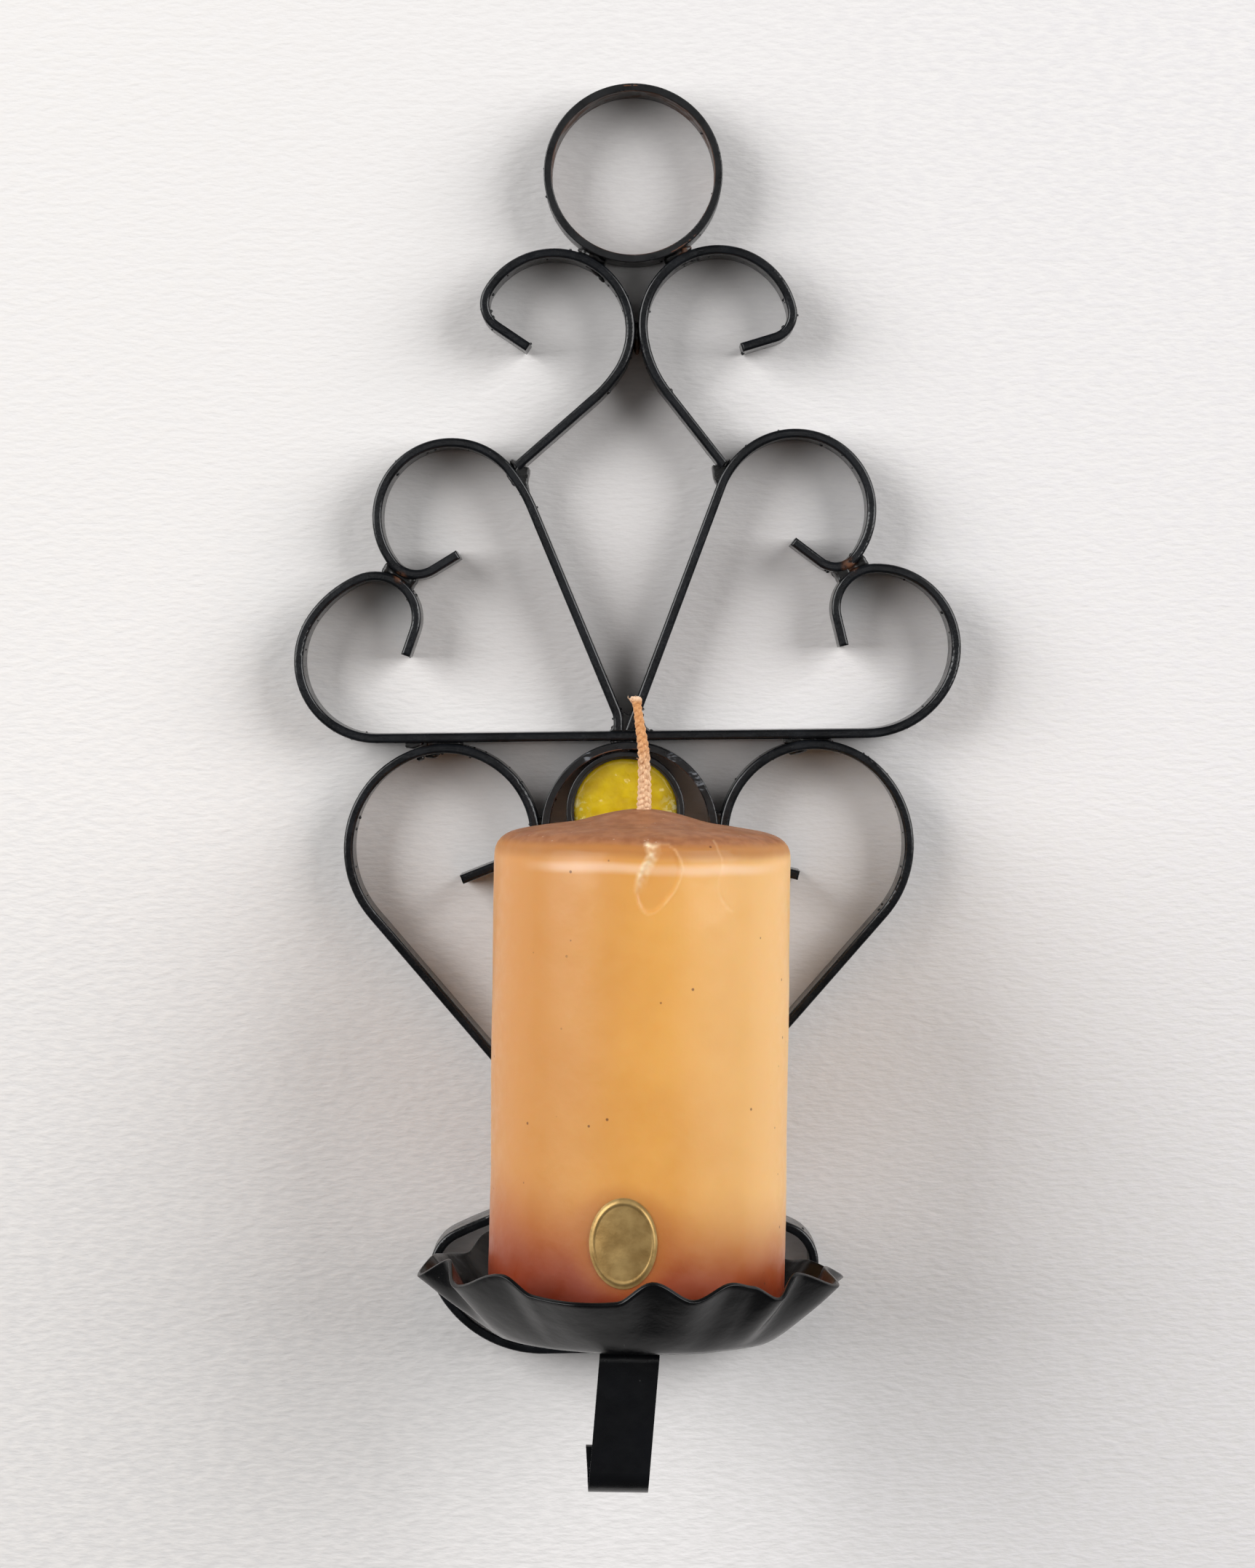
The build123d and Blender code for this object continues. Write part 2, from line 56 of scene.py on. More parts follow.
# %% [markdown]
# ## Helpers for meshes
# A finished piece is one object at the origin. `settle` turns a bmesh into such an object, gives it its
# finish, lets it ride on a body, and hides the imported nodes it stands for. `wobble` moves every vertex by a
# soft noise, because nothing that was hammered, poured or brushed by hand is quite even. Blender takes the
# start of that noise from the clock unless it is told a number, so it is told one here.

# %% Turn a bmesh into a finished piece
SMOOTH_ALL = 180


def settle(name, bm, finish, body, stands_for, smooth_angle):
    """`stands_for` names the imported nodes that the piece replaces; edges past the angle stay sharp."""
    bmesh.ops.recalc_face_normals(bm, faces=bm.faces)
    for edge in bm.edges:
        edge.smooth = edge.calc_face_angle(0) < math.radians(smooth_angle)
    for face in bm.faces:
        face.smooth = True
    mesh = bpy.data.meshes.new(name)
    bm.to_mesh(mesh)
    bm.free()
    mesh.materials.append(finish)
    piece = bpy.data.objects.new(name, mesh)
    bpy.context.scene.collection.objects.link(piece)
    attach(piece, body)
    if stands_for:
        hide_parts(*stands_for)
    print(name, "faces:", len(mesh.polygons))
    return piece


# %% Soft unevenness, the same on every run
NOISE_SEED = 3
noise.seed_set(NOISE_SEED)


def wobble(bm, amount, size, seed=0.0):
    for vert in bm.verts:
        vert.co += noise.noise_vector(vert.co / size + Vector((seed, seed, seed))) * amount


# %% A profile turned round the Z axis
WELD_DISTANCE = 1e-6


def turned(profile, steps):
    bm = bmesh.new()
    verts = [bm.verts.new((radius, 0, height)) for radius, height in profile]
    edges = [bm.edges.new(pair) for pair in zip(verts, verts[1:])]
    bmesh.ops.spin(bm, geom=verts + edges, cent=(0, 0, 0), axis=(0, 0, 1), angle=2 * math.pi,
                   steps=steps, use_merge=True)
    bmesh.ops.remove_doubles(bm, verts=bm.verts, dist=WELD_DISTANCE)
    return bm


# %% [markdown]
# ## Helpers for materials
# Every finish is a node tree on the Principled shader. The helpers below add one node each and hand back
# its output, so that a finish reads as a short recipe. All patterns lie in Object coordinates, which are
# metres here, so a noise of scale 1000 has grains of about a millimetre. `span` turns a range of one value
# into a soft ramp, `product` multiplies masks, `near_point` marks a round place and `hoop` a thin tube.

# %% Small node helpers
def start_material(name, **sockets):
    material = bpy.data.materials.new(name)
    material.use_nodes = True
    tree = material.node_tree
    shader = tree.nodes["Principled BSDF"]
    for socket, value in sockets.items():
        shader.inputs[socket.replace("_", " ")].default_value = value
    place = tree.nodes.new("ShaderNodeTexCoord").outputs["Object"]
    return material, tree, shader, place


def put(tree, socket, value):
    if isinstance(value, bpy.types.NodeSocket):
        tree.links.new(value, socket)
    else:
        socket.default_value = value


def grain(tree, place, scale, detail=3.0, stretch=(1, 1, 1), offset=(0, 0, 0)):
    mapping = tree.nodes.new("ShaderNodeMapping")
    mapping.inputs["Scale"].default_value = stretch
    mapping.inputs["Location"].default_value = offset
    put(tree, mapping.inputs["Vector"], place)
    texture = tree.nodes.new("ShaderNodeTexNoise")
    texture.inputs["Scale"].default_value = scale
    texture.inputs["Detail"].default_value = detail
    put(tree, texture.inputs["Vector"], mapping.outputs["Vector"])
    return texture.outputs["Fac"]


def cells(tree, place, scale):
    texture = tree.nodes.new("ShaderNodeTexVoronoi")
    texture.inputs["Scale"].default_value = scale
    put(tree, texture.inputs["Vector"], place)
    return texture.outputs["Distance"]


def span(tree, value, low, high, to_low=0.0, to_high=1.0):
    node = tree.nodes.new("ShaderNodeMapRange")
    node.interpolation_type = "SMOOTHSTEP"
    put(tree, node.inputs["Value"], value)
    for name, number in zip(("From Min", "From Max", "To Min", "To Max"), (low, high, to_low, to_high)):
        node.inputs[name].default_value = number
    return node.outputs["Result"]


def calc(tree, operation, first, second=0.0):
    node = tree.nodes.new("ShaderNodeMath")
    node.operation = operation
    put(tree, node.inputs[0], first)
    put(tree, node.inputs[1], second)
    return node.outputs[0]


def product(tree, first, *others):
    for other in others:
        first = calc(tree, "MULTIPLY", first, other)
    return first


def blend_colour(tree, factor, first, second, mode="MIX"):
    node = tree.nodes.new("ShaderNodeMix")
    node.data_type = "RGBA"
    node.blend_type = mode
    put(tree, node.inputs["Factor"], factor)
    for socket, colour in ((node.inputs["A"], first), (node.inputs["B"], second)):
        put(tree, socket, colour if isinstance(colour, bpy.types.NodeSocket) else (*colour, 1))
    return node.outputs["Result"]


def relief(tree, shader, height, distance):
    """A bump of the given depth, laid over those that the shader already has."""
    node = tree.nodes.new("ShaderNodeBump")
    node.inputs["Distance"].default_value = distance
    node.inputs["Strength"].default_value = 1.0
    put(tree, node.inputs["Height"], height)
    if shader.inputs["Normal"].is_linked:
        put(tree, node.inputs["Normal"], shader.inputs["Normal"].links[0].from_socket)
    put(tree, shader.inputs["Normal"], node.outputs["Normal"])


def axis_of(tree, place, axis):
    node = tree.nodes.new("ShaderNodeSeparateXYZ")
    put(tree, node.inputs[0], place)
    return node.outputs[axis]


def distance_to(tree, place, point, flatten=False):
    shift = tree.nodes.new("ShaderNodeVectorMath")
    shift.operation = "SUBTRACT"
    put(tree, shift.inputs[0], place)
    shift.inputs[1].default_value = point
    squash = tree.nodes.new("ShaderNodeVectorMath")
    squash.operation = "MULTIPLY"
    put(tree, squash.inputs[0], shift.outputs[0])
    squash.inputs[1].default_value = (1, 0 if flatten else 1, 1)
    length = tree.nodes.new("ShaderNodeVectorMath")
    length.operation = "LENGTH"
    put(tree, length.inputs[0], squash.outputs[0])
    return length.outputs["Value"]


def near_point(tree, place, point, inner, outer, flatten=False):
    """One up to `inner` from a point and nothing from `outer` on, all in millimetres."""
    gap = distance_to(tree, place, [number * MM for number in point], flatten)
    return span(tree, gap, inner * MM, outer * MM, 1, 0)


def hoop(tree, place, x, z, rise, fall, strength=1.0):
    """A thin tube round an axis along Y, which grows between two radii and fades between two more."""
    away = distance_to(tree, place, (x * MM, 0, z * MM), flatten=True)
    grown = span(tree, away, rise[0] * MM, rise[1] * MM, 0, strength)
    return product(tree, grown, span(tree, away, fall[0] * MM, fall[1] * MM, 1, 0))


# %% [markdown]
# ## Black paint on bent strip
# The strips carry a satin black paint, brushed or dipped on by hand. It is never one flat black: it pools
# and thins a little, the gloss changes from patch to patch, and dust sits in it. Rust shows through where
# the paint burned off next to a weld. The recipe is shared by strips, rings, beads, plate, bracket and spike,
# with different gloss and rust. Round places are given in millimetres: rust spots and scuffs as x, y, z and
# reach, brown insides of rings as x, z and radius, and rust arcs as a ring's x, z and radius, then the x, z
# and reach of the place where the arc shows.

# %% Black paint recipe
RUST = (0.15, 0.052, 0.014)


def black_paint(name, dark, light, gloss, orange_peel, rust_spots=(), rust_amount=0.0, brown_inside=(),
                scuffs=(), mottle=0.05, rust_arcs=(), shine=0.5):
    material, tree, shader, place = start_material(name, Specular_IOR_Level=shine)
    patches = grain(tree, place, 160, 4)
    fine = grain(tree, place, 1400, 3)
    colour = blend_colour(tree, span(tree, patches, 0.35, 0.7), dark, light)
    dust = span(tree, cells(tree, place, 520), 0.05, 0.10, 1, 0)
    rare = span(tree, grain(tree, place, 260, 2, offset=(3, 1, 7)), 0.60, 0.66)
    colour = blend_colour(tree, product(tree, dust, rare, 0.55), colour, (0.16, 0.155, 0.15))
    rust = span(tree, grain(tree, place, 420, 5, offset=(9, 4, 2)), 0.66 - rust_amount, 0.78 - rust_amount)
    rust = product(tree, rust, min(1.0, 4 * rust_amount))
    for x, y, z, reach in rust_spots:
        near = near_point(tree, place, (x, y, z), 0.35 * reach, reach)
        broken = span(tree, grain(tree, place, 700, 5), 0.36, 0.56)
        rust = calc(tree, "MAXIMUM", rust, product(tree, near, broken))
    for x, z, radius in brown_inside:
        inner = hoop(tree, place, x, z, (radius - 0.4, radius - 0.2), (radius + 0.05, radius + 0.2), 0.75)
        stained = span(tree, grain(tree, place, 190, 4, offset=(1, 5, 3)), 0.38, 0.62)
        rust = calc(tree, "MAXIMUM", rust, product(tree, inner, stained))
    for x, z, radius, near_x, near_z, reach in rust_arcs:
        band = hoop(tree, place, x, z, (radius - 0.16, radius - 0.04), (radius + 0.06, radius + 0.22))
        near = near_point(tree, place, (near_x, 0, near_z), 0.7 * reach, reach, flatten=True)
        broken = span(tree, grain(tree, place, 650, 4), 0.40, 0.52)
        rust = calc(tree, "MAXIMUM", rust, product(tree, band, near, broken))
    for x, y, z, reach in scuffs:
        near = near_point(tree, place, (x, y, z), 0.5 * reach, reach)
        scratch = span(tree, grain(tree, place, 1100, 4, stretch=(0.6, 1, 1.6)), 0.48, 0.62)
        colour = blend_colour(tree, product(tree, near, scratch), colour, (0.13, 0.14, 0.155))
    rust_colour = blend_colour(tree, grain(tree, place, 900, 4), (0.05, 0.018, 0.010), RUST)
    put(tree, shader.inputs["Base Color"], blend_colour(tree, rust, colour, rust_colour))
    rough = span(tree, grain(tree, place, 330, 4, offset=(2, 2, 2)), 0.3, 0.7, gloss - mottle, gloss + mottle)
    put(tree, shader.inputs["Roughness"], calc(tree, "MAXIMUM", rough, product(tree, rust, 0.8)))
    relief(tree, shader, grain(tree, place, 210, 3, offset=(5, 5, 5)), 0.12 * MM)
    relief(tree, shader, fine, orange_peel * MM)
    relief(tree, shader, rust, 0.08 * MM)
    return material


strip_paint = black_paint("strip_paint", (0.0022, 0.0026, 0.0034), (0.0060, 0.0070, 0.0090), 0.25, 0.035,
                          rust_spots=[(-44.5, -9, -122.6, 3.0), (0.7, -8, -35.5, 3.0), (-50, -11, -86.8, 2.0),
                                      (46.5, -11, -84.3, 2.5)], shine=0.42)
ring_paint = black_paint("ring_paint", (0.0035, 0.0038, 0.0045), (0.008, 0.0085, 0.0095), 0.32, 0.06,
                         rust_arcs=[(-0.78, -141.11, 17.45, -4.0, -124.0, 5.6),
                                    (0, 0, 18.85, 11.0, -15.4, 3.6), (0, 0, 18.7, -0.5, 18.6, 1.8)],
                         brown_inside=[(0, 0, 17.5), (-0.78, -141.11, 17.3)],
                         scuffs=[(9.0, -12, -125.2, 1.9), (14.0, -12, -130.3, 3.0), (-9.9, -12, -125.3, 1.3)])
bracket_paint = black_paint("bracket_paint", (0.0018, 0.002, 0.0028), (0.0026, 0.003, 0.0042), 0.28, 0.008,
                            mottle=0.02)
spike_paint = black_paint("spike_paint", (0.02, 0.02, 0.02), (0.05, 0.05, 0.05), 0.45, 0.03, rust_amount=0.12)

# %% [markdown]
# ## The scrolls and rings
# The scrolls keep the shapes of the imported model, because their bends were measured one by one and their
# long edges are already rounded as rolled strip is. Only the finish is new. The rings were sawn from tube,
# so they are duller, and brown rust shows on their inner faces. The bracket is smoother and darker. The bare
# spike and the cement behind the glass get a grey, half rusty finish.

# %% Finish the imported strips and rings
STRIPS = [node for node in nodes if "scroll" in node or node == "bottom_loop"]
packed_finishes = {node: strip_paint for node in STRIPS}
packed_finishes.update(hanging_ring=ring_paint, glass_ring=ring_paint, glass_bezel=ring_paint,
                       bracket=bracket_paint, pricket=spike_paint, glass_cement=spike_paint)
for node, finish in packed_finishes.items():
    nodes[node].data.materials.clear()
    nodes[node].data.materials.append(finish)

# %% [markdown]
# ## Weld beads
# Wherever two strips touch, a lump of weld or braze fills the corner, and paint has run over it. The
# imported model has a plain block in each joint, cut to fit its neighbours. A copy of the block is remeshed
# with small voxels, smoothed and pushed about by noise, which gives a lump that still fills the joint. On the
# beads that lie in an open corner the ends are drawn in and thinned, and the bead between the upper pair is
# set a little lower than its block.

# %% Weld paint and lumps
weld_paint = black_paint("weld_paint", (0.0025, 0.0025, 0.0027), (0.007, 0.0068, 0.0065), 0.30, 0.07,
                         rust_spots=[(0.7, -8, -37.5, 3.5), (11.0, -9, -16.6, 2.6), (-44.5, -9, -122.6, 2.5),
                                     (46.5, -9, -84.5, 2.5), (-2.0, -9, -124.6, 3.0)], rust_amount=0.02)


BEAD_VOXEL, BEAD_SMOOTHING = 0.22, 4
BEAD_LUMPINESS, BEAD_LUMP_SIZE = 0.35, 1.3
THINNEST_END = 0.04


def taper_ends(bm, pinch):
    """Draw the ends of a bead in along its length, and thin them, as weld does where it runs out."""
    middle = sum((v.co for v in bm.verts), Vector()) / len(bm.verts)
    xx = sum((v.co.x - middle.x) ** 2 for v in bm.verts)
    zz = sum((v.co.z - middle.z) ** 2 for v in bm.verts)
    xz = sum((v.co.x - middle.x) * (v.co.z - middle.z) for v in bm.verts)
    turn = 0.5 * math.atan2(2 * xz, xx - zz)
    along = Vector((math.cos(turn), 0, math.sin(turn)))
    across = Vector((-math.sin(turn), 0, math.cos(turn)))
    half = max(abs((v.co - middle).dot(along)) for v in bm.verts)
    for vert in bm.verts:
        offset = vert.co - middle
        lengthwise, crosswise = offset.dot(along), offset.dot(across)
        thin = math.sqrt(max(THINNEST_END, 1 - (lengthwise / half) ** 2))
        depth = Vector((0, offset.y * (0.6 + 0.4 * thin), 0))
        vert.co = middle + along * lengthwise * pinch + across * crosswise * thin + depth


def melted(bm, voxel, rounds):
    """Melt overlapping shapes into one smooth skin, through a remesh with small voxels."""
    mesh = bpy.data.meshes.new("rough")
    bm.to_mesh(mesh)
    bm.free()
    rough = bpy.data.objects.new("rough", mesh)
    bpy.context.scene.collection.objects.link(rough)
    remesh = rough.modifiers.new("voxels", "REMESH")
    remesh.mode, remesh.voxel_size = "VOXEL", voxel * MM
    smooth = rough.modifiers.new("smooth", "SMOOTH")
    smooth.factor, smooth.iterations = 0.5, rounds
    bpy.context.view_layer.update()
    shaped = bpy.data.meshes.new_from_object(rough.evaluated_get(bpy.context.evaluated_depsgraph_get()))
    bpy.data.objects.remove(rough)
    bm = bmesh.new()
    bm.from_mesh(shaped)
    return bm


def lump(node, swell=0.25, pinch=0.0, sink=0.0):
    """One bead from its packed block; `swell` and `sink` are in millimetres, `pinch` is a share."""
    bm = bmesh.new()
    bm.from_mesh(nodes[node].data)
    bmesh.ops.remove_doubles(bm, verts=bm.verts, dist=2 * WELD_DISTANCE)
    bm = melted(bm, BEAD_VOXEL, BEAD_SMOOTHING)
    if pinch:
        taper_ends(bm, pinch)
    bmesh.ops.translate(bm, verts=bm.verts, vec=(0, 0, -sink * MM))
    bm.normal_update()
    for vert in bm.verts:
        push = swell + BEAD_LUMPINESS * noise.noise(vert.co / (BEAD_LUMP_SIZE * MM))
        vert.co += vert.normal * push * MM
    bmesh.ops.smooth_vert(bm, verts=bm.verts, factor=0.5, use_axis_x=True, use_axis_y=True, use_axis_z=True)
    settle(node.replace("weld", "bead"), bm, weld_paint, "holder", [node], SMOOTH_ALL)


for node in sorted(n for n in nodes if n.startswith("weld_")):
    if "shoulder" in node:
        lump(node, swell=0.05, pinch=0.55)
    elif node.endswith("feet"):
        lump(node, swell=0.0, pinch=0.55)
    elif "ring_" in node and "glass" not in node:
        lump(node, swell=0.05, pinch=0.9)
    elif "pair" in node:
        lump(node, swell=0.1, pinch=0.95, sink=2.0)
    else:
        lump(node)

# %% [markdown]
# ## Fillets and drips of weld
# In the corners below the shoulders and round the feet, the weld ran out into a thin web with a hollow
# edge. Each web is drawn as an outline in the wall's plane, in millimetres, and given depth by extruding
# its face. Where the arc burned through, lumps hang on the far side of a strip. They are small balls,
# stretched along the strip and roughened by noise. A remesh melts balls that overlap into one ridge.

# %% Webs in the corners
WEBS = [
    [(17.0, -62.5), (17.15, -64.1), (17.5, -65.7), (18.3, -67.3), (19.0, -66.8), (19.9, -64.5), (20.3, -63.2),
     (18.7, -62.8)],
    [(-24.7, -62.8), (-22.3, -63.1), (-22.45, -64.7), (-22.75, -66.3), (-22.3, -68.5), (-24.1, -66.5),
     (-25.6, -64.1)],
    [(-5.1, -119.8), (-4.5, -119.2), (-4.0, -118.0), (-3.4, -116.8), (-2.6, -115.8), (-1.9, -115.8),
     (-1.2, -116.3), (-0.3, -116.0), (1.0, -116.1), (1.9, -117.0), (2.4, -118.0), (2.8, -118.9),
     (3.7, -119.8), (2.0, -120.2), (-3.6, -120.2)],
    [(-49.1, -122.3), (-49.1, -123.3), (-47.4, -123.6), (-45.3, -122.7), (-45.9, -122.0)],
    [(32.4, -121.2), (32.5, -122.5), (34.2, -122.4), (36.2, -121.8), (36.0, -121.0)],
    [(43.4, -85.3), (43.9, -86.3), (44.3, -88.2), (45.4, -87.0), (46.8, -85.6), (46.0, -84.6)],
    [(17.5, -137.2), (18.1, -137.0), (18.9, -137.4), (19.2, -140.2), (18.6, -142.4), (17.9, -140.0)],
]


WEB_FRONT, WEB_BACK = -11.3, -2.0


def web(outline, bm):
    face = bm.faces.new([bm.verts.new((x * MM, WEB_FRONT * MM, z * MM)) for x, z in outline])
    grown = bmesh.ops.extrude_face_region(bm, geom=[face])["geom"]
    bmesh.ops.translate(bm, verts=[v for v in grown if isinstance(v, bmesh.types.BMVert)],
                        vec=(0, (WEB_BACK - WEB_FRONT) * MM, 0))


web_mesh = bmesh.new()
for outline in WEBS:
    web(outline, web_mesh)
bmesh.ops.recalc_face_normals(web_mesh, faces=web_mesh.faces)
web_mesh = melted(web_mesh, 0.16, 12)
wobble(web_mesh, 0.12 * MM, 1.5 * MM, 3.0)
settle("weld_webs", web_mesh, weld_paint, "holder", (), SMOOTH_ALL)

# %% Drips and burned-through lumps: x, z, y, half length, half thickness, angle
DRIPS = [(-9.2, -20.1, -8.5, 1.6, 0.50, -38), (-8.0, -21.1, -8.3, 1.4, 0.55, -43),
         (-6.95, -22.2, -8.0, 1.3, 0.5, -50), (8.0, -20.65, -8.5, 1.3, 0.45, 50),
         (9.4, -19.75, -8.5, 1.5, 0.55, 40), (11.0, -19.0, -8.5, 1.5, 0.50, 30),
         (12.6, -18.45, -8.3, 1.2, 0.42, 18), (13.9, -18.3, -8.0, 0.5, 0.35, 5),
         (-45.8, -125.5, -9.5, 0.85, 0.8, 0), (-43.3, -125.0, -8.5, 1.6, 0.7, 6),
         (35.6, -124.1, -8.5, 2.3, 0.62, 14), (-26.3, -65.5, -8.0, 1.9, 0.5, -58),
         (46.7, -82.3, -11.0, 0.36, 0.34, 0), (2.05, -115.0, -11.2, 0.42, 0.36, 0),
         (2.1, -116.3, -11.2, 0.3, 0.3, 0), (-3.35, -113.4, -11.3, 0.3, 0.26, 0),
         (-0.6, -118.6, -10.6, 1.2, 0.55, 10), (3.9, -119.7, -11.0, 0.5, 0.3, 0)]
drip_mesh = bmesh.new()
for x, z, y, length, thickness, angle in DRIPS:
    shape = (Matrix.Translation((x * MM, y * MM, z * MM)) @ Matrix.Rotation(math.radians(-angle), 4, "Y")
             @ Matrix.Diagonal((length, max(thickness, 0.5 * length), thickness, 1)))
    bmesh.ops.create_icosphere(drip_mesh, subdivisions=3, radius=MM, matrix=shape)
wobble(drip_mesh, 0.20 * MM, 0.9 * MM, 6.0)
drip_mesh = melted(drip_mesh, 0.12, 2)
settle("weld_drips", drip_mesh, weld_paint, "holder", (), SMOOTH_ALL)

# %% [markdown]
# ## Where the cup stands
# Plate, candle, wick and seal lean together by less than a degree, because the bracket was bent by hand.
# They are modelled upright round their own axis, with the plate's underside at height zero, and are then
# moved to their place by one matrix, from the arm's foot, the lean, the reach out from the wall and the arm's
# height. The printed line compares the middle of the plate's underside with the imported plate's lowest point,
# which lies about 0.4 mm lower, on the side that leans down.

# %% The cup's own axis
LEAN = math.radians(0.8)
ARM_X, ARM_Z = 0.4, -250.2887
ARM_REACH, ARM_TOP = 57, 8.4
CUP = Matrix.Translation((ARM_X * MM, 0, ARM_Z * MM)) @ Matrix.Rotation(LEAN, 4, "Y")
CUP = CUP @ Matrix.Translation((0, -ARM_REACH * MM, ARM_TOP * MM))
PLATE_THICKNESS = 1.2
CANDLE = CUP @ Matrix.Translation((0, 0, PLATE_THICKNESS * MM))
plate_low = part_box("drip_plate")[0]
print("plate bottom from the matrix:", round(CUP.translation.z, 5), "from its box:", round(plate_low.z, 5))

# %% [markdown]
# ## The ruffled drip plate
# The plate is a disc of thin sheet with its rim worked into loose waves by pliers, so no two waves are
# alike. Each wave's crest and trough is given as an angle, a radius and a height. A smooth closed
# curve runs through them, and the wall rises from a round floor to that curve, ring by ring, with the waves
# growing towards the rim. Solidify gives the sheet its thickness.

# %% Rim of the plate: angle, radius and height of crests and troughs
RIM = [(16, 43.9, 10.1), (28, 41.0, 11.9), (40, 41.2, 10.9), (55, 43.5, 14.4), (70, 42.0, 11.8),
       (85, 43.5, 15.4), (100, 41.8, 11.9), (116, 43.8, 13.0), (135, 44.0, 15.5), (149, 41.6, 12.2),
       (161, 42.0, 13.0), (174, 42.4, 13.8), (187, 44.6, 11.5), (198, 39.9, 15.5), (212, 42.6, 11.9),
       (232, 43.2, 15.7), (241, 42.4, 12.2), (253, 43.6, 11.5), (265, 42.5, 11.8), (274, 43.9, 16.0),
       (285, 42.8, 12.1), (296, 42.4, 15.3), (303, 42.0, 14.4), (312, 42.2, 11.5), (321, 41.0, 15.7),
       (336, 43.7, 12.1), (354, 38.6, 13.9)]


RIM_SWING = 0.35


def rim_at(angle):
    """Radius and height of the rim at an angle, on a smooth closed curve through the knots."""
    for k, knot in enumerate(RIM):
        before, after, last = RIM[k - 1], RIM[(k + 1) % len(RIM)], RIM[(k + 2) % len(RIM)]
        width = (after[0] - knot[0]) % 360
        t = ((angle - knot[0]) % 360) / width
        if t < 1:
            ease = t * t * (3 - 2 * t)
            back = (knot[0] - before[0]) % 360
            ahead = (last[0] - after[0]) % 360
            result = []
            for i in (1, 2):
                slope_in = (after[i] - before[i]) / (back + width) * width * RIM_SWING
                slope_out = (last[i] - knot[i]) / (width + ahead) * width * RIM_SWING
                hermite = (t**3 - 2 * t**2 + t) * slope_in + (t**3 - t**2) * slope_out
                result.append(knot[i] + (after[i] - knot[i]) * ease + hermite)
            return result


# %% Pull the sheet up ring by ring, in millimetres
HOLE_RADIUS, FLOOR_RADIUS = 2.6, 28.6
FLOOR_RINGS = (9, 18, 24, 27.2, FLOOR_RADIUS)
MEAN_RIM_RADIUS, MEAN_RIM_HEIGHT = 42.4, 12.8
OUTWARD_BEND, UPWARD_BEND, WAVE_GROWTH = 0.92, 1.12, 1.35
SECTORS, WALL_STEPS = 288, 18
SHEET = 0.9


def next_ring(bm, ring):
    """Extrude the open edge and hand back the new open edge and its vertices."""
    grown = bmesh.ops.extrude_edge_only(bm, edges=ring)["geom"]
    ring = [e for e in grown if isinstance(e, bmesh.types.BMEdge) and all(v in grown for v in e.verts)
            and len(e.link_faces) == 1]
    return ring, {v for e in ring for v in e.verts}


def ruffled_sheet():
    bm = bmesh.new()
    bmesh.ops.create_circle(bm, segments=SECTORS, radius=HOLE_RADIUS * MM)
    ring = list(bm.edges)
    for radius in FLOOR_RINGS:
        ring, verts = next_ring(bm, ring)
        for vert in verts:
            flat = Vector((vert.co.x, vert.co.y)).normalized() * radius * MM
            vert.co = (flat.x, flat.y, 0)
    for step in range(1, WALL_STEPS + 1):
        ring, verts = next_ring(bm, ring)
        t = step / WALL_STEPS
        waves = t**WAVE_GROWTH
        for vert in verts:
            turn = math.atan2(vert.co.y, vert.co.x)
            rim_radius, rim_height = rim_at(math.degrees(turn))
            radius = FLOOR_RADIUS + (MEAN_RIM_RADIUS - FLOOR_RADIUS) * t**OUTWARD_BEND
            radius += (rim_radius - MEAN_RIM_RADIUS) * waves
            height = MEAN_RIM_HEIGHT * t**UPWARD_BEND + (rim_height - MEAN_RIM_HEIGHT) * waves
            vert.co = (radius * math.cos(turn) * MM, radius * math.sin(turn) * MM, height * MM)
    return bm


plate_paint = black_paint("plate_paint", (0.0024, 0.0026, 0.0030), (0.0050, 0.0053, 0.0058), 0.24, 0.012,
                          mottle=0.025, shine=0.25)
sheet = ruffled_sheet()
wobble(sheet, 0.22 * MM, 9 * MM, 4.0)
bmesh.ops.translate(sheet, verts=sheet.verts, vec=(0, 0, SHEET / 2 * MM))
bmesh.ops.transform(sheet, matrix=CUP, verts=sheet.verts)
plate = settle("ruffled_plate", sheet, plate_paint, "holder", ["drip_plate"], SMOOTH_ALL)
sheet_metal = plate.modifiers.new("sheet", "SOLIDIFY")
sheet_metal.thickness, sheet_metal.offset = SHEET * MM, 0
rounded = plate.modifiers.new("sheared edge", "BEVEL")
rounded.width, rounded.segments, rounded.limit_method = 0.18 * MM, 2, "ANGLE"

# %% [markdown]
# ## The pillar candle
# The candle was poured in a mould: a straight body, a rounded shoulder and a low cone that rises to the
# wick. A profile turned round the axis gives that shape, with a hole for the spike below. The old wax has
# slumped and been knocked, so the surface is a little uneven, and a flake has lifted near the front of the
# shoulder, with a crack beside it. There the mesh is divided more finely, the marks are pressed into the
# wax, and how strong each one is goes into a colour attribute that the wax's finish reads.

# %% Profile of the candle, in millimetres from its axis and its foot
CANDLE_RADIUS, FOOT_BEVEL = 30.2, 2.5
CORNER_FOOT = 95.2
BODY_STEPS, BEVEL_STEPS, CANDLE_SECTORS = 62, 4, 180
SOCKET = [(0, 13.2), (1.8, 13.2), (3.6, 13.2), (3.6, 6.6), (3.6, 0)]
UNDERSIDE = [(11, 0), (19, 0), (25, 0)]
TOP = [(30.17, 96.6), (30.0, 97.7), (29.6, 98.7), (28.9, 99.6), (28.0, 100.3), (26.9, 100.85), (25.6, 101.25),
       (24.0, 101.6), (22.0, 101.95), (20.0, 102.25), (18.0, 102.5), (16.0, 102.75), (14.0, 103.05),
       (12.0, 103.5), (10.0, 104.05), (8.0, 104.6), (6.0, 105.05), (4.0, 105.4), (2.5, 105.6), (1.2, 105.45),
       (0.5, 104.6), (0, 104.4)]


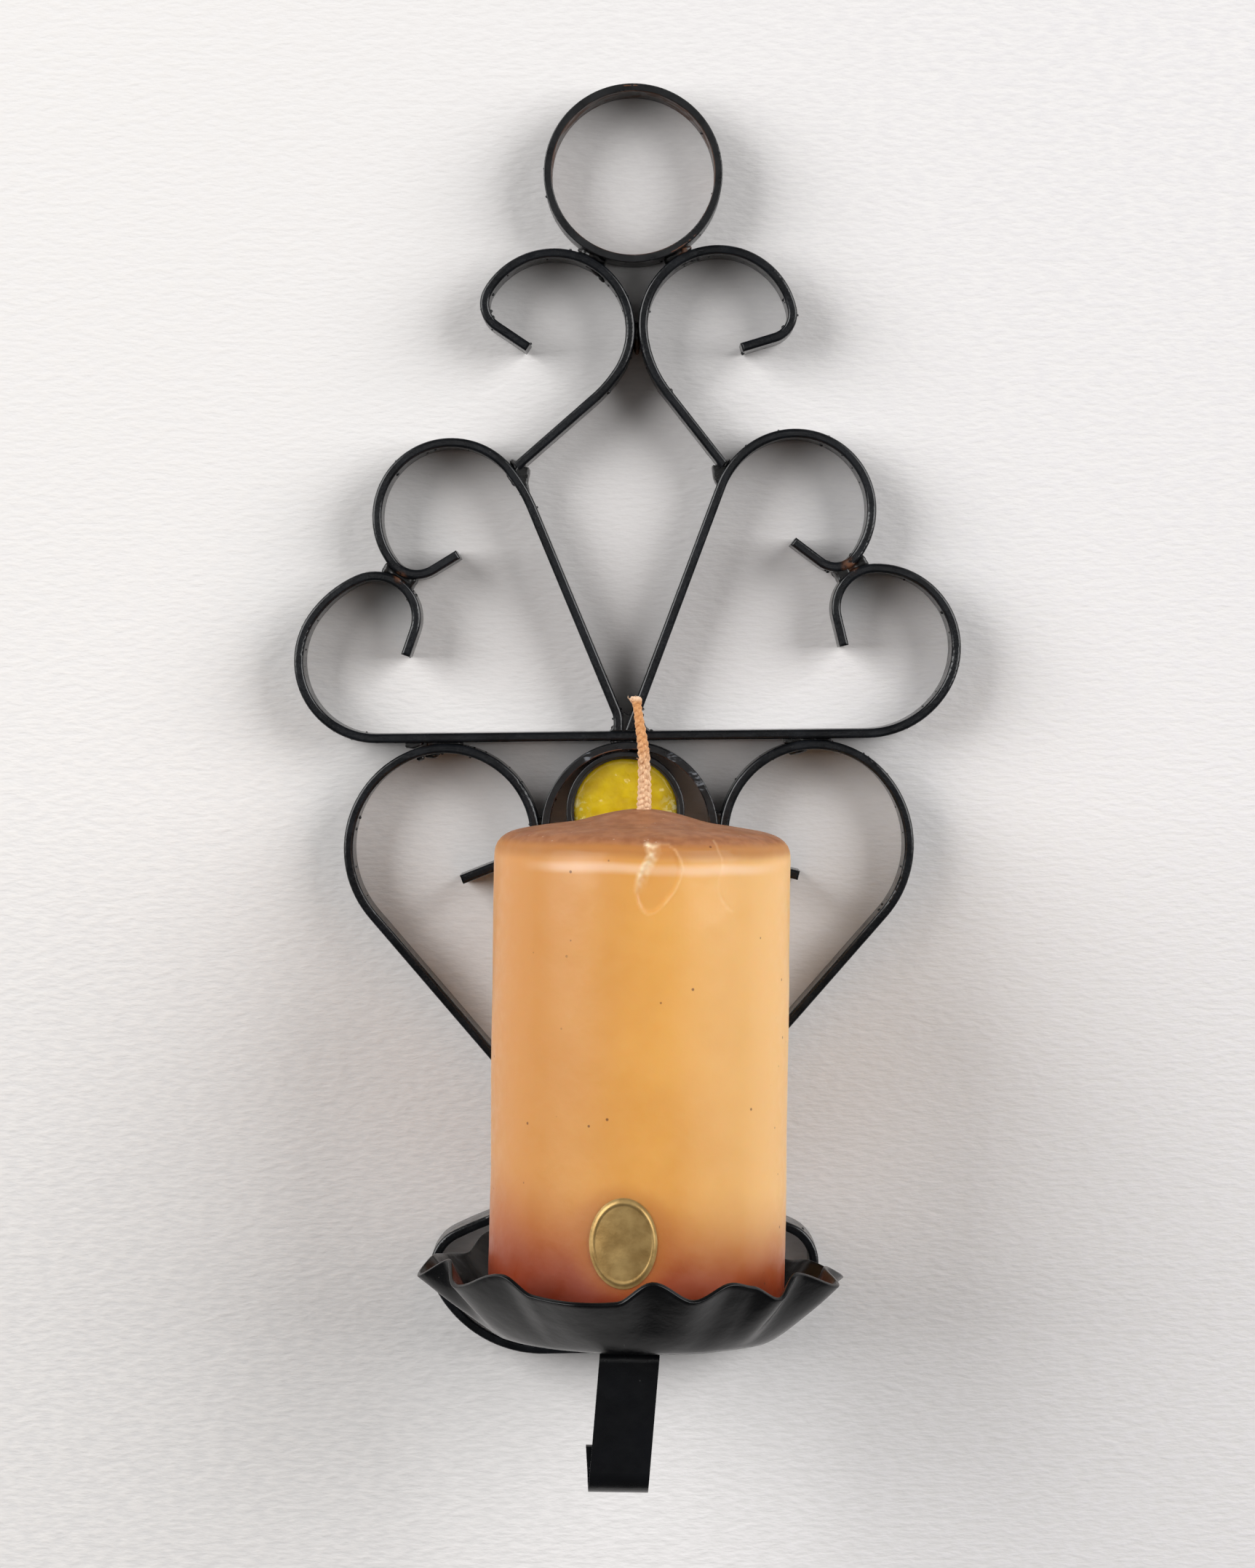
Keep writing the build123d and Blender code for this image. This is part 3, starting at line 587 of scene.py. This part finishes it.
def candle_profile():
    """Down the socket's wall, out under the foot, up the body and over the shoulder to the wick."""
    points = SOCKET + UNDERSIDE
    for step in range(BEVEL_STEPS + 1):
        turn = step / BEVEL_STEPS * math.pi / 2
        points.append((CANDLE_RADIUS - FOOT_BEVEL * (1 - math.sin(turn)), FOOT_BEVEL * (1 - math.cos(turn))))
    for step in range(1, BODY_STEPS + 1):
        points.append((CANDLE_RADIUS, FOOT_BEVEL + (CORNER_FOOT - FOOT_BEVEL) * step / BODY_STEPS))
    return [(radius * MM, height * MM) for radius, height in points + TOP]


candle_mesh = turned(candle_profile(), CANDLE_SECTORS)
print("candle profile faces:", len(candle_mesh.faces))


# %% Finer mesh round the flake and the crack
def close_to_flake(face):
    """True for a face in a patch on the front of the shoulder, 25 mm wide and 21 mm high."""
    centre = face.calc_center_median() / MM
    return centre.y < -20 and -5 < centre.x < 20 and 80 < centre.z < 101


for _ in range(2):
    patch = {face for face in candle_mesh.faces if close_to_flake(face)}
    edges = [edge for edge in candle_mesh.edges if not patch.isdisjoint(edge.link_faces)]
    bmesh.ops.subdivide_edges(candle_mesh, edges=edges, cuts=1, use_grid_fill=True)

# %% The flake's outline and the crack, as x and height in millimetres
FLAKE = [(0.9, 99.6), (2.0, 99.2), (3.6, 99.9), (5.2, 99.8), (6.6, 98.6), (7.4, 97.0), (7.9, 95.0),
         (7.6, 92.9), (6.6, 90.6), (5.2, 88.8), (3.9, 87.3), (2.4, 86.2), (1.0, 86.0), (-0.2, 86.9),
         (-1.0, 88.6), (-1.3, 90.3), (-0.9, 92.1), (-0.6, 93.5), (0.2, 95.2), (0.9, 96.3), (1.6, 97.9)]
CRACK = [(14.0, 100.4), (14.7, 99.4), (15.1, 98.2), (15.8, 97.0), (15.9, 95.4), (15.3, 93.5), (15.2, 91.0),
         (15.9, 89.1), (16.8, 87.6), (18.0, 86.6)]


def near_path(x, z, path, closed):
    """Distance to a drawn line, how far along it the nearest point lies, and whether the point is inside."""
    best, where, inside = 1e9, 0.0, False
    count = len(path) if closed else len(path) - 1
    for k in range(count):
        (x0, z0), (x1, z1) = path[k], path[(k + 1) % len(path)]
        dx, dz = x1 - x0, z1 - z0
        t = max(0.0, min(1.0, ((x - x0) * dx + (z - z0) * dz) / (dx * dx + dz * dz)))
        gap = math.hypot(x - x0 - t * dx, z - z0 - t * dz)
        if gap < best:
            best, where = gap, (k + t) / count
        if closed and (z0 > z) != (z1 > z) and x < x0 + dx * (z - z0) / dz:
            inside = not inside
    return best, where, inside


def fading(gap, reach):
    """One on a line and nothing at its reach."""
    return max(0.0, 1 - gap / reach)


def flake_marks(x, z):
    """How much a point is on the flake's edge, in its broken left side, inside it and on the crack.

    The last number is the gap to the edge. Places along the outline run clockwise from 0, its top left, to 1.
    """
    gap, where, inside = near_path(x, z, FLAKE, True)
    ragged = 0.5 + noise.noise(Vector((x * 1.1, z * 1.1, 3)))
    left = fading(abs(where - 0.88), 0.17) if where > 0.6 else fading(where, 0.10)
    edge_width = 0.34 if 0.15 < where < 0.72 else 0.5
    if 0.18 < where < 0.46:
        edge_strength = 0.85
    else:
        edge_strength = 0.35 if where < 0.60 else 0.45 * ragged + 0.1
    edge = fading(gap, edge_width) * edge_strength
    broken = left * fading(gap, 2.1 if inside else 0.9) * (0.35 + 1.15 * ragged)
    split, along, _ = near_path(x, z, CRACK, False)
    crack = fading(split, 0.32) * (0.35 + 0.8 * ragged) * (1 if along < 0.45 else 0.45)
    return edge, min(1.0, broken), float(inside), min(1.0, crack), gap


# %% Push the flake and the crack into the wax and mark them for the colour
EDGE_DEPTH, BROKEN_DEPTH, DENT_DEPTH, CRACK_DEPTH = 0.14, 0.30, 0.28, 0.12
scar = candle_mesh.verts.layers.float_color.new("scar")
for vert in candle_mesh.verts:
    x, z = vert.co.x / MM, vert.co.z / MM
    outward = Vector((vert.co.x, vert.co.y, 0)).normalized()
    vert[scar] = (0, 0, 0, 1)
    if vert.co.y < -15 * MM and z > 78:
        edge, broken, inside, crack, gap = flake_marks(x, z)
        dent = inside * min(1.0, gap / 0.8)
        crumbs = noise.noise(vert.co / (0.7 * MM))
        outward_push = EDGE_DEPTH * edge + BROKEN_DEPTH * broken * crumbs
        vert.co += outward * (outward_push - DENT_DEPTH * dent - CRACK_DEPTH * crack) * MM
        vert[scar] = (max(0.8 * edge, 0.75 * crack), inside, broken, 1)
wobble(candle_mesh, 0.28 * MM, 26 * MM, 2.0)
wobble(candle_mesh, 0.05 * MM, 5 * MM, 8.0)

# %% [markdown]
# ## Wax
# The wax is dyed through in a warm orange yellow and turns brick red towards the foot. Dust has stuck to
# the top, which looks brown. Wax lets light in a little way, so the shader uses subsurface scattering. The
# red edge isn't level: it starts higher on the left, and a noise breaks it up. Painted shade darkens the wax
# round the seal and on the curve of the shoulder, a painted highlight band lies just below it, and dark
# specks sit in it. Painted light also darkens the left side, lightens the right and pales the left edge.
# Heights and widths in the recipe are places in the room, in metres.

# %% Wax recipe
def wax():
    material, tree, shader, place = start_material("candle_wax", Subsurface_Weight=0.35, IOR=1.44,
                                                   Coat_Weight=0.15, Coat_Roughness=0.14)
    shader.inputs["Subsurface Radius"].default_value = (0.008, 0.003, 0.0012)
    shader.inputs["Subsurface Scale"].default_value = 0.6
    height, across = axis_of(tree, place, "Z"), axis_of(tree, place, "X")
    cloud = grain(tree, place, 45, 4)
    body = blend_colour(tree, span(tree, cloud, 0.3, 0.7), (0.73, 0.350, 0.075), (0.80, 0.415, 0.098))
    # Painted light: painted shade darkens the left side, painted light lightens the right, and a painted
    # reflection pales the left edge.
    body = blend_colour(tree, span(tree, across, -0.033, 0.018), (0.60, 0.262, 0.070), body)
    body = blend_colour(tree, span(tree, across, 0.006, 0.030, 0, 0.75), body, (0.83, 0.50, 0.205))
    body = blend_colour(tree, span(tree, across, -0.030, -0.022, 0.6, 0), body, (0.60, 0.30, 0.12))
    cloudy = calc(tree, "SUBTRACT", cloud, 0.5)
    tilted = calc(tree, "ADD", height, product(tree, across, 0.10))
    tilted = calc(tree, "ADD", tilted, product(tree, cloudy, 0.006))
    red = blend_colour(tree, span(tree, tilted, -0.236, -0.217), (0.20, 0.022, 0.007), (0.37, 0.080, 0.016))
    body = blend_colour(tree, span(tree, tilted, -0.2275, -0.2065), red, body)
    # Painted shade: the wax is darkened round the seal.
    painted_shade_by_seal = near_point(tree, place, (-2.1, -87.2, -219.5), 7.8, 12.5, flatten=True)
    body = blend_colour(tree, product(tree, painted_shade_by_seal, 0.55), body, (0.44, 0.150, 0.036))
    grimy = span(tree, grain(tree, place, 420, 6, offset=(2, 3, 4)), 0.36, 0.64)
    level = calc(tree, "ADD", height, product(tree, across, 0.014))
    level = calc(tree, "ADD", level, product(tree, cloudy, 0.002))
    top = product(tree, span(tree, level, -0.1419, -0.1403), 0.86)
    # Painted shade: the curve of the shoulder is darkened, and the wax there is also made rougher.
    painted_shoulder_shade = span(tree, level, -0.1450, -0.1424, 0, 0.9)
    body = blend_colour(tree, painted_shoulder_shade, body, (0.40, 0.160, 0.036))
    # Painted highlight: a pale band where the straight body meets the shoulder, in place of the lamps' shine.
    painted_highlight_band = product(tree, span(tree, level, -0.1474, -0.1459), span(tree, level, -0.1456, -0.1443, 1, 0),
                     span(tree, across, -0.024, -0.012), span(tree, across, 0.022, 0.031, 1, 0))
    body = blend_colour(tree, product(tree, painted_highlight_band, 0.42), body, (0.98, 0.74, 0.56))
    grime = blend_colour(tree, grimy, (0.245, 0.085, 0.032), (0.33, 0.130, 0.055))
    body = blend_colour(tree, top, body, grime)
    attribute = tree.nodes.new("ShaderNodeAttribute")
    attribute.attribute_name = "scar"
    marks = tree.nodes.new("ShaderNodeSeparateColor")
    put(tree, marks.inputs[0], attribute.outputs["Color"])
    edge, inside, broken = marks.outputs
    body = blend_colour(tree, product(tree, inside, 0.25), body, (0.62, 0.25, 0.06))
    body = blend_colour(tree, product(tree, edge, 0.45), body, (0.90, 0.62, 0.36))
    body = blend_colour(tree, product(tree, broken, 0.85), body, (0.93, 0.76, 0.50))
    speck = span(tree, cells(tree, place, 210), 0.045, 0.075, 1, 0)
    seldom = span(tree, grain(tree, place, 90, 2, offset=(8, 8, 1)), 0.40, 0.50)
    body = blend_colour(tree, product(tree, speck, seldom, 0.75), body, (0.13, 0.035, 0.012))
    dust = product(tree, span(tree, cells(tree, place, 420), 0.06, 0.12, 1, 0), top, 0.35)
    put(tree, shader.inputs["Base Color"], blend_colour(tree, dust, body, (0.62, 0.48, 0.38)))
    rough = span(tree, grain(tree, place, 300, 4), 0.3, 0.7, 0.34, 0.48)
    put(tree, shader.inputs["Roughness"], calc(tree, "ADD", rough, product(tree, painted_shoulder_shade, 0.28)))
    relief(tree, shader, grain(tree, place, 700, 4), 0.03 * MM)
    relief(tree, shader, cloud, 0.25 * MM)
    return material


bmesh.ops.transform(candle_mesh, matrix=CANDLE, verts=candle_mesh.verts)
settle("pillar_candle", candle_mesh, wax(), "candle", ["candle"], 50)

# %% [markdown]
# ## The wick
# The wick is a flat braid of cotton strands stiff with wax, thick at its foot and thinner above, with a
# frayed tip. A braid of three strands follows two sine waves: each strand swings from side to side once
# while it goes over and under twice. Each strand is three thin plies twisted round each other. The plies and
# the loose hairs are curves with a round section, made into one mesh.

# %% Braid three strands along the wick
WICK_PATH = [(0.15, 103.0), (0.2, 105.7), (0.25, 108.7), (0.22, 111.6), (0.05, 116.5), (-0.3, 119.5),
             (-0.9, 123.0), (-1.35, 126.0), (-1.75, 128.2)]


def wick_centre(t):
    """A point on the wick's middle line, from inside the cone to the tip."""
    at = t * (len(WICK_PATH) - 1)
    k = min(int(at), len(WICK_PATH) - 2)
    part = at - k
    (x0, z0), (x1, z1) = WICK_PATH[k], WICK_PATH[k + 1]
    return Vector((x0 + (x1 - x0) * part, 0, z0 + (z1 - z0) * part)) * MM


def tube_along(points, radii):
    curve = bpy.data.curves.new("strand", "CURVE")
    curve.dimensions = "3D"
    curve.bevel_depth, curve.bevel_resolution, curve.use_fill_caps = 1.0, 2, True
    line = curve.splines.new("POLY")
    line.points.add(len(points) - 1)
    for point, place, radius in zip(line.points, points, radii):
        point.co = (*place, 1)
        point.radius = radius
    holder = bpy.data.objects.new("strand", curve)
    bpy.context.scene.collection.objects.link(holder)
    bpy.context.view_layer.update()
    mesh = bpy.data.meshes.new_from_object(holder.evaluated_get(bpy.context.evaluated_depsgraph_get()))
    bpy.data.objects.remove(holder)
    return mesh


STRANDS, PLIES, STEPS = 3, 3, 260
PLAITS, PLY_TURNS, PLY_SPREAD = 6.5, 13, 0.26


def ply_along(strand, ply):
    """The middle line and the radii of one ply; `slim` thins the wick upwards and spreads its tip."""
    points, radii = [], []
    for step in range(STEPS + 1):
        t = step / STEPS
        phase = 2 * math.pi * (PLAITS * t**0.85 + strand / STRANDS)
        slim = 1.10 - 0.30 * min(1, t * 1.15) ** 2 + 0.35 * max(0, t - 0.93) / 0.07
        sideways = (0.78 - 0.36 * min(1, t * 1.2)) * math.sin(phase)
        over_and_under = (0.40 - 0.22 * t) * math.sin(2 * phase)
        offset = Vector((sideways, over_and_under, 0)) * slim
        twist = 2 * math.pi * (PLY_TURNS * t + ply / PLIES)
        offset += Vector((math.cos(twist), math.sin(twist), 0)) * PLY_SPREAD * slim
        points.append(wick_centre(t) + offset * MM)
        radii.append((0.46 + 0.08 * t) * slim * MM)
    return points, radii


wick_mesh = bmesh.new()
for strand in range(STRANDS):
    for ply in range(PLIES):
        wick_mesh.from_mesh(tube_along(*ply_along(strand, ply)))

# %% Loose hairs: eight along the wick, the rest at its tip
HAIRS, SIDE_HAIRS = 34, 8
HAIR_RADII = [0.09 * MM, 0.07 * MM, 0.04 * MM]
rng = random.Random(5)
for hair in range(HAIRS):
    at_tip = hair >= SIDE_HAIRS
    root = wick_centre(rng.uniform(0.95, 1.0) if at_tip else rng.uniform(0.25, 0.9))
    root += Vector((rng.uniform(-0.9, 0.9), rng.uniform(-0.6, 0.2), 0)) * MM
    lean = Vector((rng.uniform(-0.9, 0.7), rng.uniform(-0.5, 0.3), rng.uniform(0.1, 1.0))) * MM
    if not at_tip:
        lean.z *= 0.5
    bend = Vector((rng.uniform(-0.5, 0.5), 0, 0)) * MM
    wick_mesh.from_mesh(tube_along([root, root + lean * 0.5 + bend, root + lean], HAIR_RADII))


# %% Cotton finish
def cotton():
    material, tree, shader, place = start_material("wick_cotton", Sheen_Weight=0.3)
    fibres = grain(tree, place, 2600, 4, stretch=(1, 1, 0.35))
    colour = blend_colour(tree, span(tree, fibres, 0.3, 0.72), (0.46, 0.215, 0.085), (0.84, 0.55, 0.32))
    height = axis_of(tree, place, "Z")
    colour = blend_colour(tree, span(tree, height, -0.127, -0.119, 0, 0.75), colour, (0.63, 0.27, 0.075))
    colour = blend_colour(tree, span(tree, height, -0.134, -0.122, 0.35, 0), colour, (0.86, 0.62, 0.42))
    colour = blend_colour(tree, span(tree, height, -0.1134, -0.1122, 0, 0.6), colour, (0.88, 0.68, 0.50))
    put(tree, shader.inputs["Base Color"], colour)
    shader.inputs["Roughness"].default_value = 0.75
    relief(tree, shader, fibres, 0.12 * MM)
    return material


bmesh.ops.transform(wick_mesh, matrix=CANDLE, verts=wick_mesh.verts)
settle("braided_wick", wick_mesh, cotton(), "candle", ["wick"], SMOOTH_ALL)

# %% [markdown]
# ## The seal
# A small oval of gold foil is stuck on the candle near its foot. It is plain, with a pressed border. A
# strip of points from the middle to the edge is turned into a disc, stretched to an oval and wrapped round
# the wax, so the foil follows the candle's curve and stands just proud of it.

# %% Foil disc wrapped on the candle
SEAL_WIDTH, SEAL_HEIGHT, SEAL_RISE, SEAL_SHIFT = 13.5, 18.0, 21.0, -2.8
SEAL_STAND_OFF = 0.30
FOIL_MIDDLE = [(k / 16, 0.0) for k in range(14)]
FOIL_BORDER = [(0.84, 0.0), (0.86, 0.10), (0.885, 0.12), (0.91, 0.10), (0.93, 0.0), (0.97, 0.0), (1.0, -0.02),
               (1.0, -0.14)]
DISC_SECTORS = 96


def foil_disc():
    """A disc of radius one with heights in millimetres, stretched to the seal's size and wrapped."""
    bm = turned(FOIL_MIDDLE + FOIL_BORDER, DISC_SECTORS)
    for vert in bm.verts:
        x = vert.co.x * SEAL_WIDTH / 2 + SEAL_SHIFT
        z = vert.co.y * SEAL_HEIGHT / 2 + SEAL_RISE
        crease = 0.05 * noise.noise(Vector((x * 0.35, z * 0.35, 9)))
        out = CANDLE_RADIUS + SEAL_STAND_OFF + vert.co.z + crease
        vert.co = Vector((x, -math.sqrt(out * out - x * x), z)) * MM
    return bm


def foil():
    material, tree, shader, place = start_material("gold_foil", Metallic=0.75)
    tarnish = grain(tree, place, 240, 5)
    colour = blend_colour(tree, span(tree, tarnish, 0.3, 0.7), (0.37, 0.225, 0.075), (0.50, 0.335, 0.130))
    put(tree, shader.inputs["Base Color"], colour)
    put(tree, shader.inputs["Roughness"], span(tree, tarnish, 0.3, 0.7, 0.40, 0.48))
    relief(tree, shader, grain(tree, place, 1900, 3), 0.02 * MM)
    relief(tree, shader, grain(tree, place, 260, 3), 0.08 * MM)
    return material


seal_mesh = foil_disc()
bmesh.ops.transform(seal_mesh, matrix=CANDLE, verts=seal_mesh.verts)
settle("foil_seal", seal_mesh, foil(), "candle", ["seal"], 60)

# %% [markdown]
# ## The glass roundel
# The glass is a thick yellow disc, uneven like old poured glass, with chips and crinkles near its lower
# edge, where pale glints are painted into its colour as painted highlights. Lit from the room it glows
# yellow more than it lets the wall through. A clear glass shader would show the wall, so the shader is a
# coloured body with a clear hard coat. Strong subsurface light spreads in it, so it also glows a little
# from behind.

# %% Glass disc with an uneven front
GLASS_RINGS = 24


def roundel():
    low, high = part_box("glass_disc")
    centre, radius = (low + high) / 2, (high.x - low.x) / 2
    depth = high.y - low.y
    front = [(radius * k / GLASS_RINGS, 0.0) for k in range(GLASS_RINGS)]
    edge = [(radius * 0.985, -0.10 * MM), (radius, -0.45 * MM)]
    back = [(radius, -depth), (radius * 0.5, -depth), (0, -depth)]
    bm = turned(front + edge + back, DISC_SECTORS)
    for vert in bm.verts:
        if vert.co.z > -0.2 * MM:
            rough = 0.16 * noise.noise(vert.co / (3.2 * MM)) + 0.09 * noise.noise(vert.co / (1.1 * MM))
            outward = vert.co.length / radius
            chipped = max(0.0, -vert.co.y / radius + 0.25) * max(0.0, outward - 0.55) * 4
            vert.co.z += (rough * (0.5 + 2.2 * min(1.4, chipped)) - 0.14) * MM
    bmesh.ops.transform(bm, matrix=Matrix.Rotation(math.pi / 2, 4, "X"), verts=bm.verts)
    bmesh.ops.translate(bm, verts=bm.verts, vec=(centre.x, low.y, centre.z))
    return bm


def yellow_glass():
    material, tree, shader, place = start_material("yellow_glass", Coat_Weight=1.0, Coat_Roughness=0.05,
                                                   Subsurface_Weight=0.75, Roughness=0.25)
    shader.inputs["Subsurface Radius"].default_value = (0.0060, 0.0058, 0.0004)
    shader.inputs["Subsurface Scale"].default_value = 1.0
    cloud = grain(tree, place, 210, 5)
    colour = blend_colour(tree, span(tree, cloud, 0.35, 0.68), (0.53, 0.352, 0.003), (0.68, 0.485, 0.005))
    seeds = span(tree, cells(tree, place, 650), 0.06, 0.12, 1, 0)
    sparse = span(tree, grain(tree, place, 300, 2), 0.52, 0.6)
    colour = blend_colour(tree, product(tree, seeds, sparse, 0.6), colour, (0.25, 0.18, 0.01))
    # Painted highlight: pale glints on the crinkled glass near its lower rim.
    painted_glint_band = span(tree, axis_of(tree, place, "Z"), -0.1362, -0.1325, 1, 0)
    glint_crinkle = span(tree, grain(tree, place, 1000, 5), 0.50, 0.58)
    rim = span(tree, distance_to(tree, place, (-0.00167, 0, -0.1369), flatten=True), 0.0070, 0.0100)
    colour = blend_colour(tree, product(tree, painted_glint_band, glint_crinkle, rim, 0.6), colour, (0.88, 0.78, 0.36))
    put(tree, shader.inputs["Base Color"], colour)
    relief(tree, shader, grain(tree, place, 420, 4), 0.25 * MM)
    return material


settle("glass_roundel", roundel(), yellow_glass(), "holder", ["glass_disc"], 50)

# %% [markdown]
# ## Nibs of paint
# The paint was thick, and small nibs and drops of it dried along the strips. They are only a few tenths of
# a millimetre, but they catch light and show at the strips' edges. Small ico spheres are dropped on points
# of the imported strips, pressed half into the paint, and joined into one mesh.

# %% Scatter nibs on the strips
NIB_SIZES = (0.18, 0.22, 0.3, 0.3, 0.42)
NIB_FRONT, NIB_BACK = -11.2, -4.0
NIBS_ON_SCROLL, NIBS_ON_RING = 22, 9
nib_mesh = bmesh.new()
rng = random.Random(11)
for node in sorted(n for n in nodes if "scroll" in n or n in ("bottom_loop", "hanging_ring", "glass_ring")):
    mesh = nodes[node].data
    sides = [v for v in mesh.vertices if abs(v.normal.y) < 0.5]
    for _ in range(NIBS_ON_SCROLL if "scroll" in node else NIBS_ON_RING):
        vert = rng.choice(sides)
        size = rng.choice(NIB_SIZES) * MM
        place = Vector((vert.co.x, rng.uniform(NIB_FRONT, NIB_BACK) * MM, vert.co.z))
        turn = Euler((rng.uniform(0, 3), rng.uniform(0, 3), 0)).to_matrix().to_4x4()
        stretch = Matrix.Diagonal((1, rng.uniform(0.8, 1.7), rng.uniform(0.8, 1.2), 1))
        bmesh.ops.create_icosphere(nib_mesh, subdivisions=1, radius=size,
                                   matrix=Matrix.Translation(place) @ turn @ stretch)
settle("paint_nibs", nib_mesh, strip_paint, "holder", (), SMOOTH_ALL)

# %% [markdown]
# ## Wall, light and camera
# The holder hangs on a pale papered wall with fine level ripples. The wall is a stage, not part of the
# object, and it can be looked through from behind. Painted light makes it a little lighter and warmer on
# the left, and a little lighter low down. Two large soft boxes stand to the left and right, a little above,
# so every strip throws two faint shadows, which are dark only where they cross. A long thin lamp in front
# draws the fine highlights on the edges. The camera stands a good way back with a long lens, a little above
# the height of the crossbar, and its shift moves the holder to its place in the frame.

# %% Papered wall
def toned(tree, colour, strength):
    """The same colour, lighter or darker."""
    return blend_colour(tree, 1.0, colour, (strength, strength, strength), "MULTIPLY")


def wall_paper():
    material, tree, shader, place = start_material("wall_paper", Roughness=0.85)
    ripples = grain(tree, place, 300, 3, stretch=(1.0, 1, 3.0))
    # Painted light: the wall is made lighter and warmer on the left, and lighter low down.
    painted_light_tint = blend_colour(tree, span(tree, axis_of(tree, place, "X"), -0.13, 0.13), (0.80, 0.775, 0.755),
                        (0.755, 0.735, 0.740))
    painted_light_low = span(tree, axis_of(tree, place, "Z"), -0.30, 0.05, 1, 0)
    painted_light_tint = blend_colour(tree, painted_light_low, toned(tree, painted_light_tint, 0.955), toned(tree, painted_light_tint, 1.06))
    colour = blend_colour(tree, span(tree, ripples, 0.3, 0.7), (0.77, 0.75, 0.74), painted_light_tint)
    put(tree, shader.inputs["Base Color"], colour)
    relief(tree, shader, ripples, 0.22 * MM)
    output = tree.nodes["Material Output"]
    clear = tree.nodes.new("ShaderNodeBsdfTransparent")
    choose = tree.nodes.new("ShaderNodeMixShader")
    put(tree, choose.inputs[0], tree.nodes.new("ShaderNodeNewGeometry").outputs["Backfacing"])
    put(tree, choose.inputs[1], shader.outputs[0])
    put(tree, choose.inputs[2], clear.outputs[0])
    put(tree, output.inputs["Surface"], choose.outputs[0])
    return material


WALL_HALF_SIZE = 1.6
WALL_CENTRE = (0, 0.3 * MM, -0.12)
wall_mesh = bmesh.new()
bmesh.ops.create_grid(wall_mesh, x_segments=1, y_segments=1, size=WALL_HALF_SIZE)
upright = Matrix.Translation(WALL_CENTRE) @ Matrix.Rotation(math.pi / 2, 4, "X")
bmesh.ops.transform(wall_mesh, matrix=upright, verts=wall_mesh.verts)
mesh = bpy.data.meshes.new("wall")
wall_mesh.to_mesh(mesh)
wall_mesh.free()
mesh.materials.append(wall_paper())
wall = bpy.data.objects.new("wall", mesh)
bpy.context.scene.collection.objects.link(wall)
print("wall faces the room:", mesh.polygons[0].normal.y < 0)


# %% Soft boxes and a pale room, in metres and watts
BOX_SIZE = (1.3, 1.15)
HOLDER_MIDDLE = (0, 0, -0.13)


def soft_box(name, place, size, power, target):
    light = bpy.data.lights.new(name, "AREA")
    light.shape, light.size, light.size_y, light.energy = "RECTANGLE", *size, power
    lamp = bpy.data.objects.new(name, light)
    lamp.location = place
    lamp.rotation_euler = (Vector(target) - Vector(place)).to_track_quat("-Z", "Y").to_euler()
    bpy.context.scene.collection.objects.link(lamp)


soft_box("left_box", (-1.25, -0.95, 0.36), BOX_SIZE, 28.5, HOLDER_MIDDLE)
soft_box("right_box", (1.25, -0.95, 0.36), BOX_SIZE, 27, HOLDER_MIDDLE)
soft_box("front_strip", (-0.05, -1.5, -0.02), (1.9, 0.05), 1.0, (0, 0, -0.14))
world = bpy.data.worlds.new("pale_room")
bpy.context.scene.world = world
world.use_nodes = True
world.node_tree.nodes["Background"].inputs["Color"].default_value = (0.86, 0.85, 0.84, 1)
world.node_tree.nodes["Background"].inputs["Strength"].default_value = 0.08
bpy.context.scene.view_settings.view_transform = "Standard"

# %% Camera at the photograph's viewpoint
PICTURE_HEIGHT, PICTURE_SHIFT = 2156, -100
LOOKS_DOWN, LOOKS_LEFT = 0.646, 0.072
view = bpy.data.cameras.new("camera")
view.sensor_width = 36.0
view.lens = 96.56
view.shift_y = PICTURE_SHIFT / PICTURE_HEIGHT
camera = bpy.data.objects.new("camera", view)
camera.location = (-0.08 * MM, -0.91532, -0.10533)
camera.rotation_euler = (math.radians(90 - LOOKS_DOWN), 0, math.radians(LOOKS_LEFT))
bpy.context.scene.collection.objects.link(camera)
bpy.context.scene.camera = camera
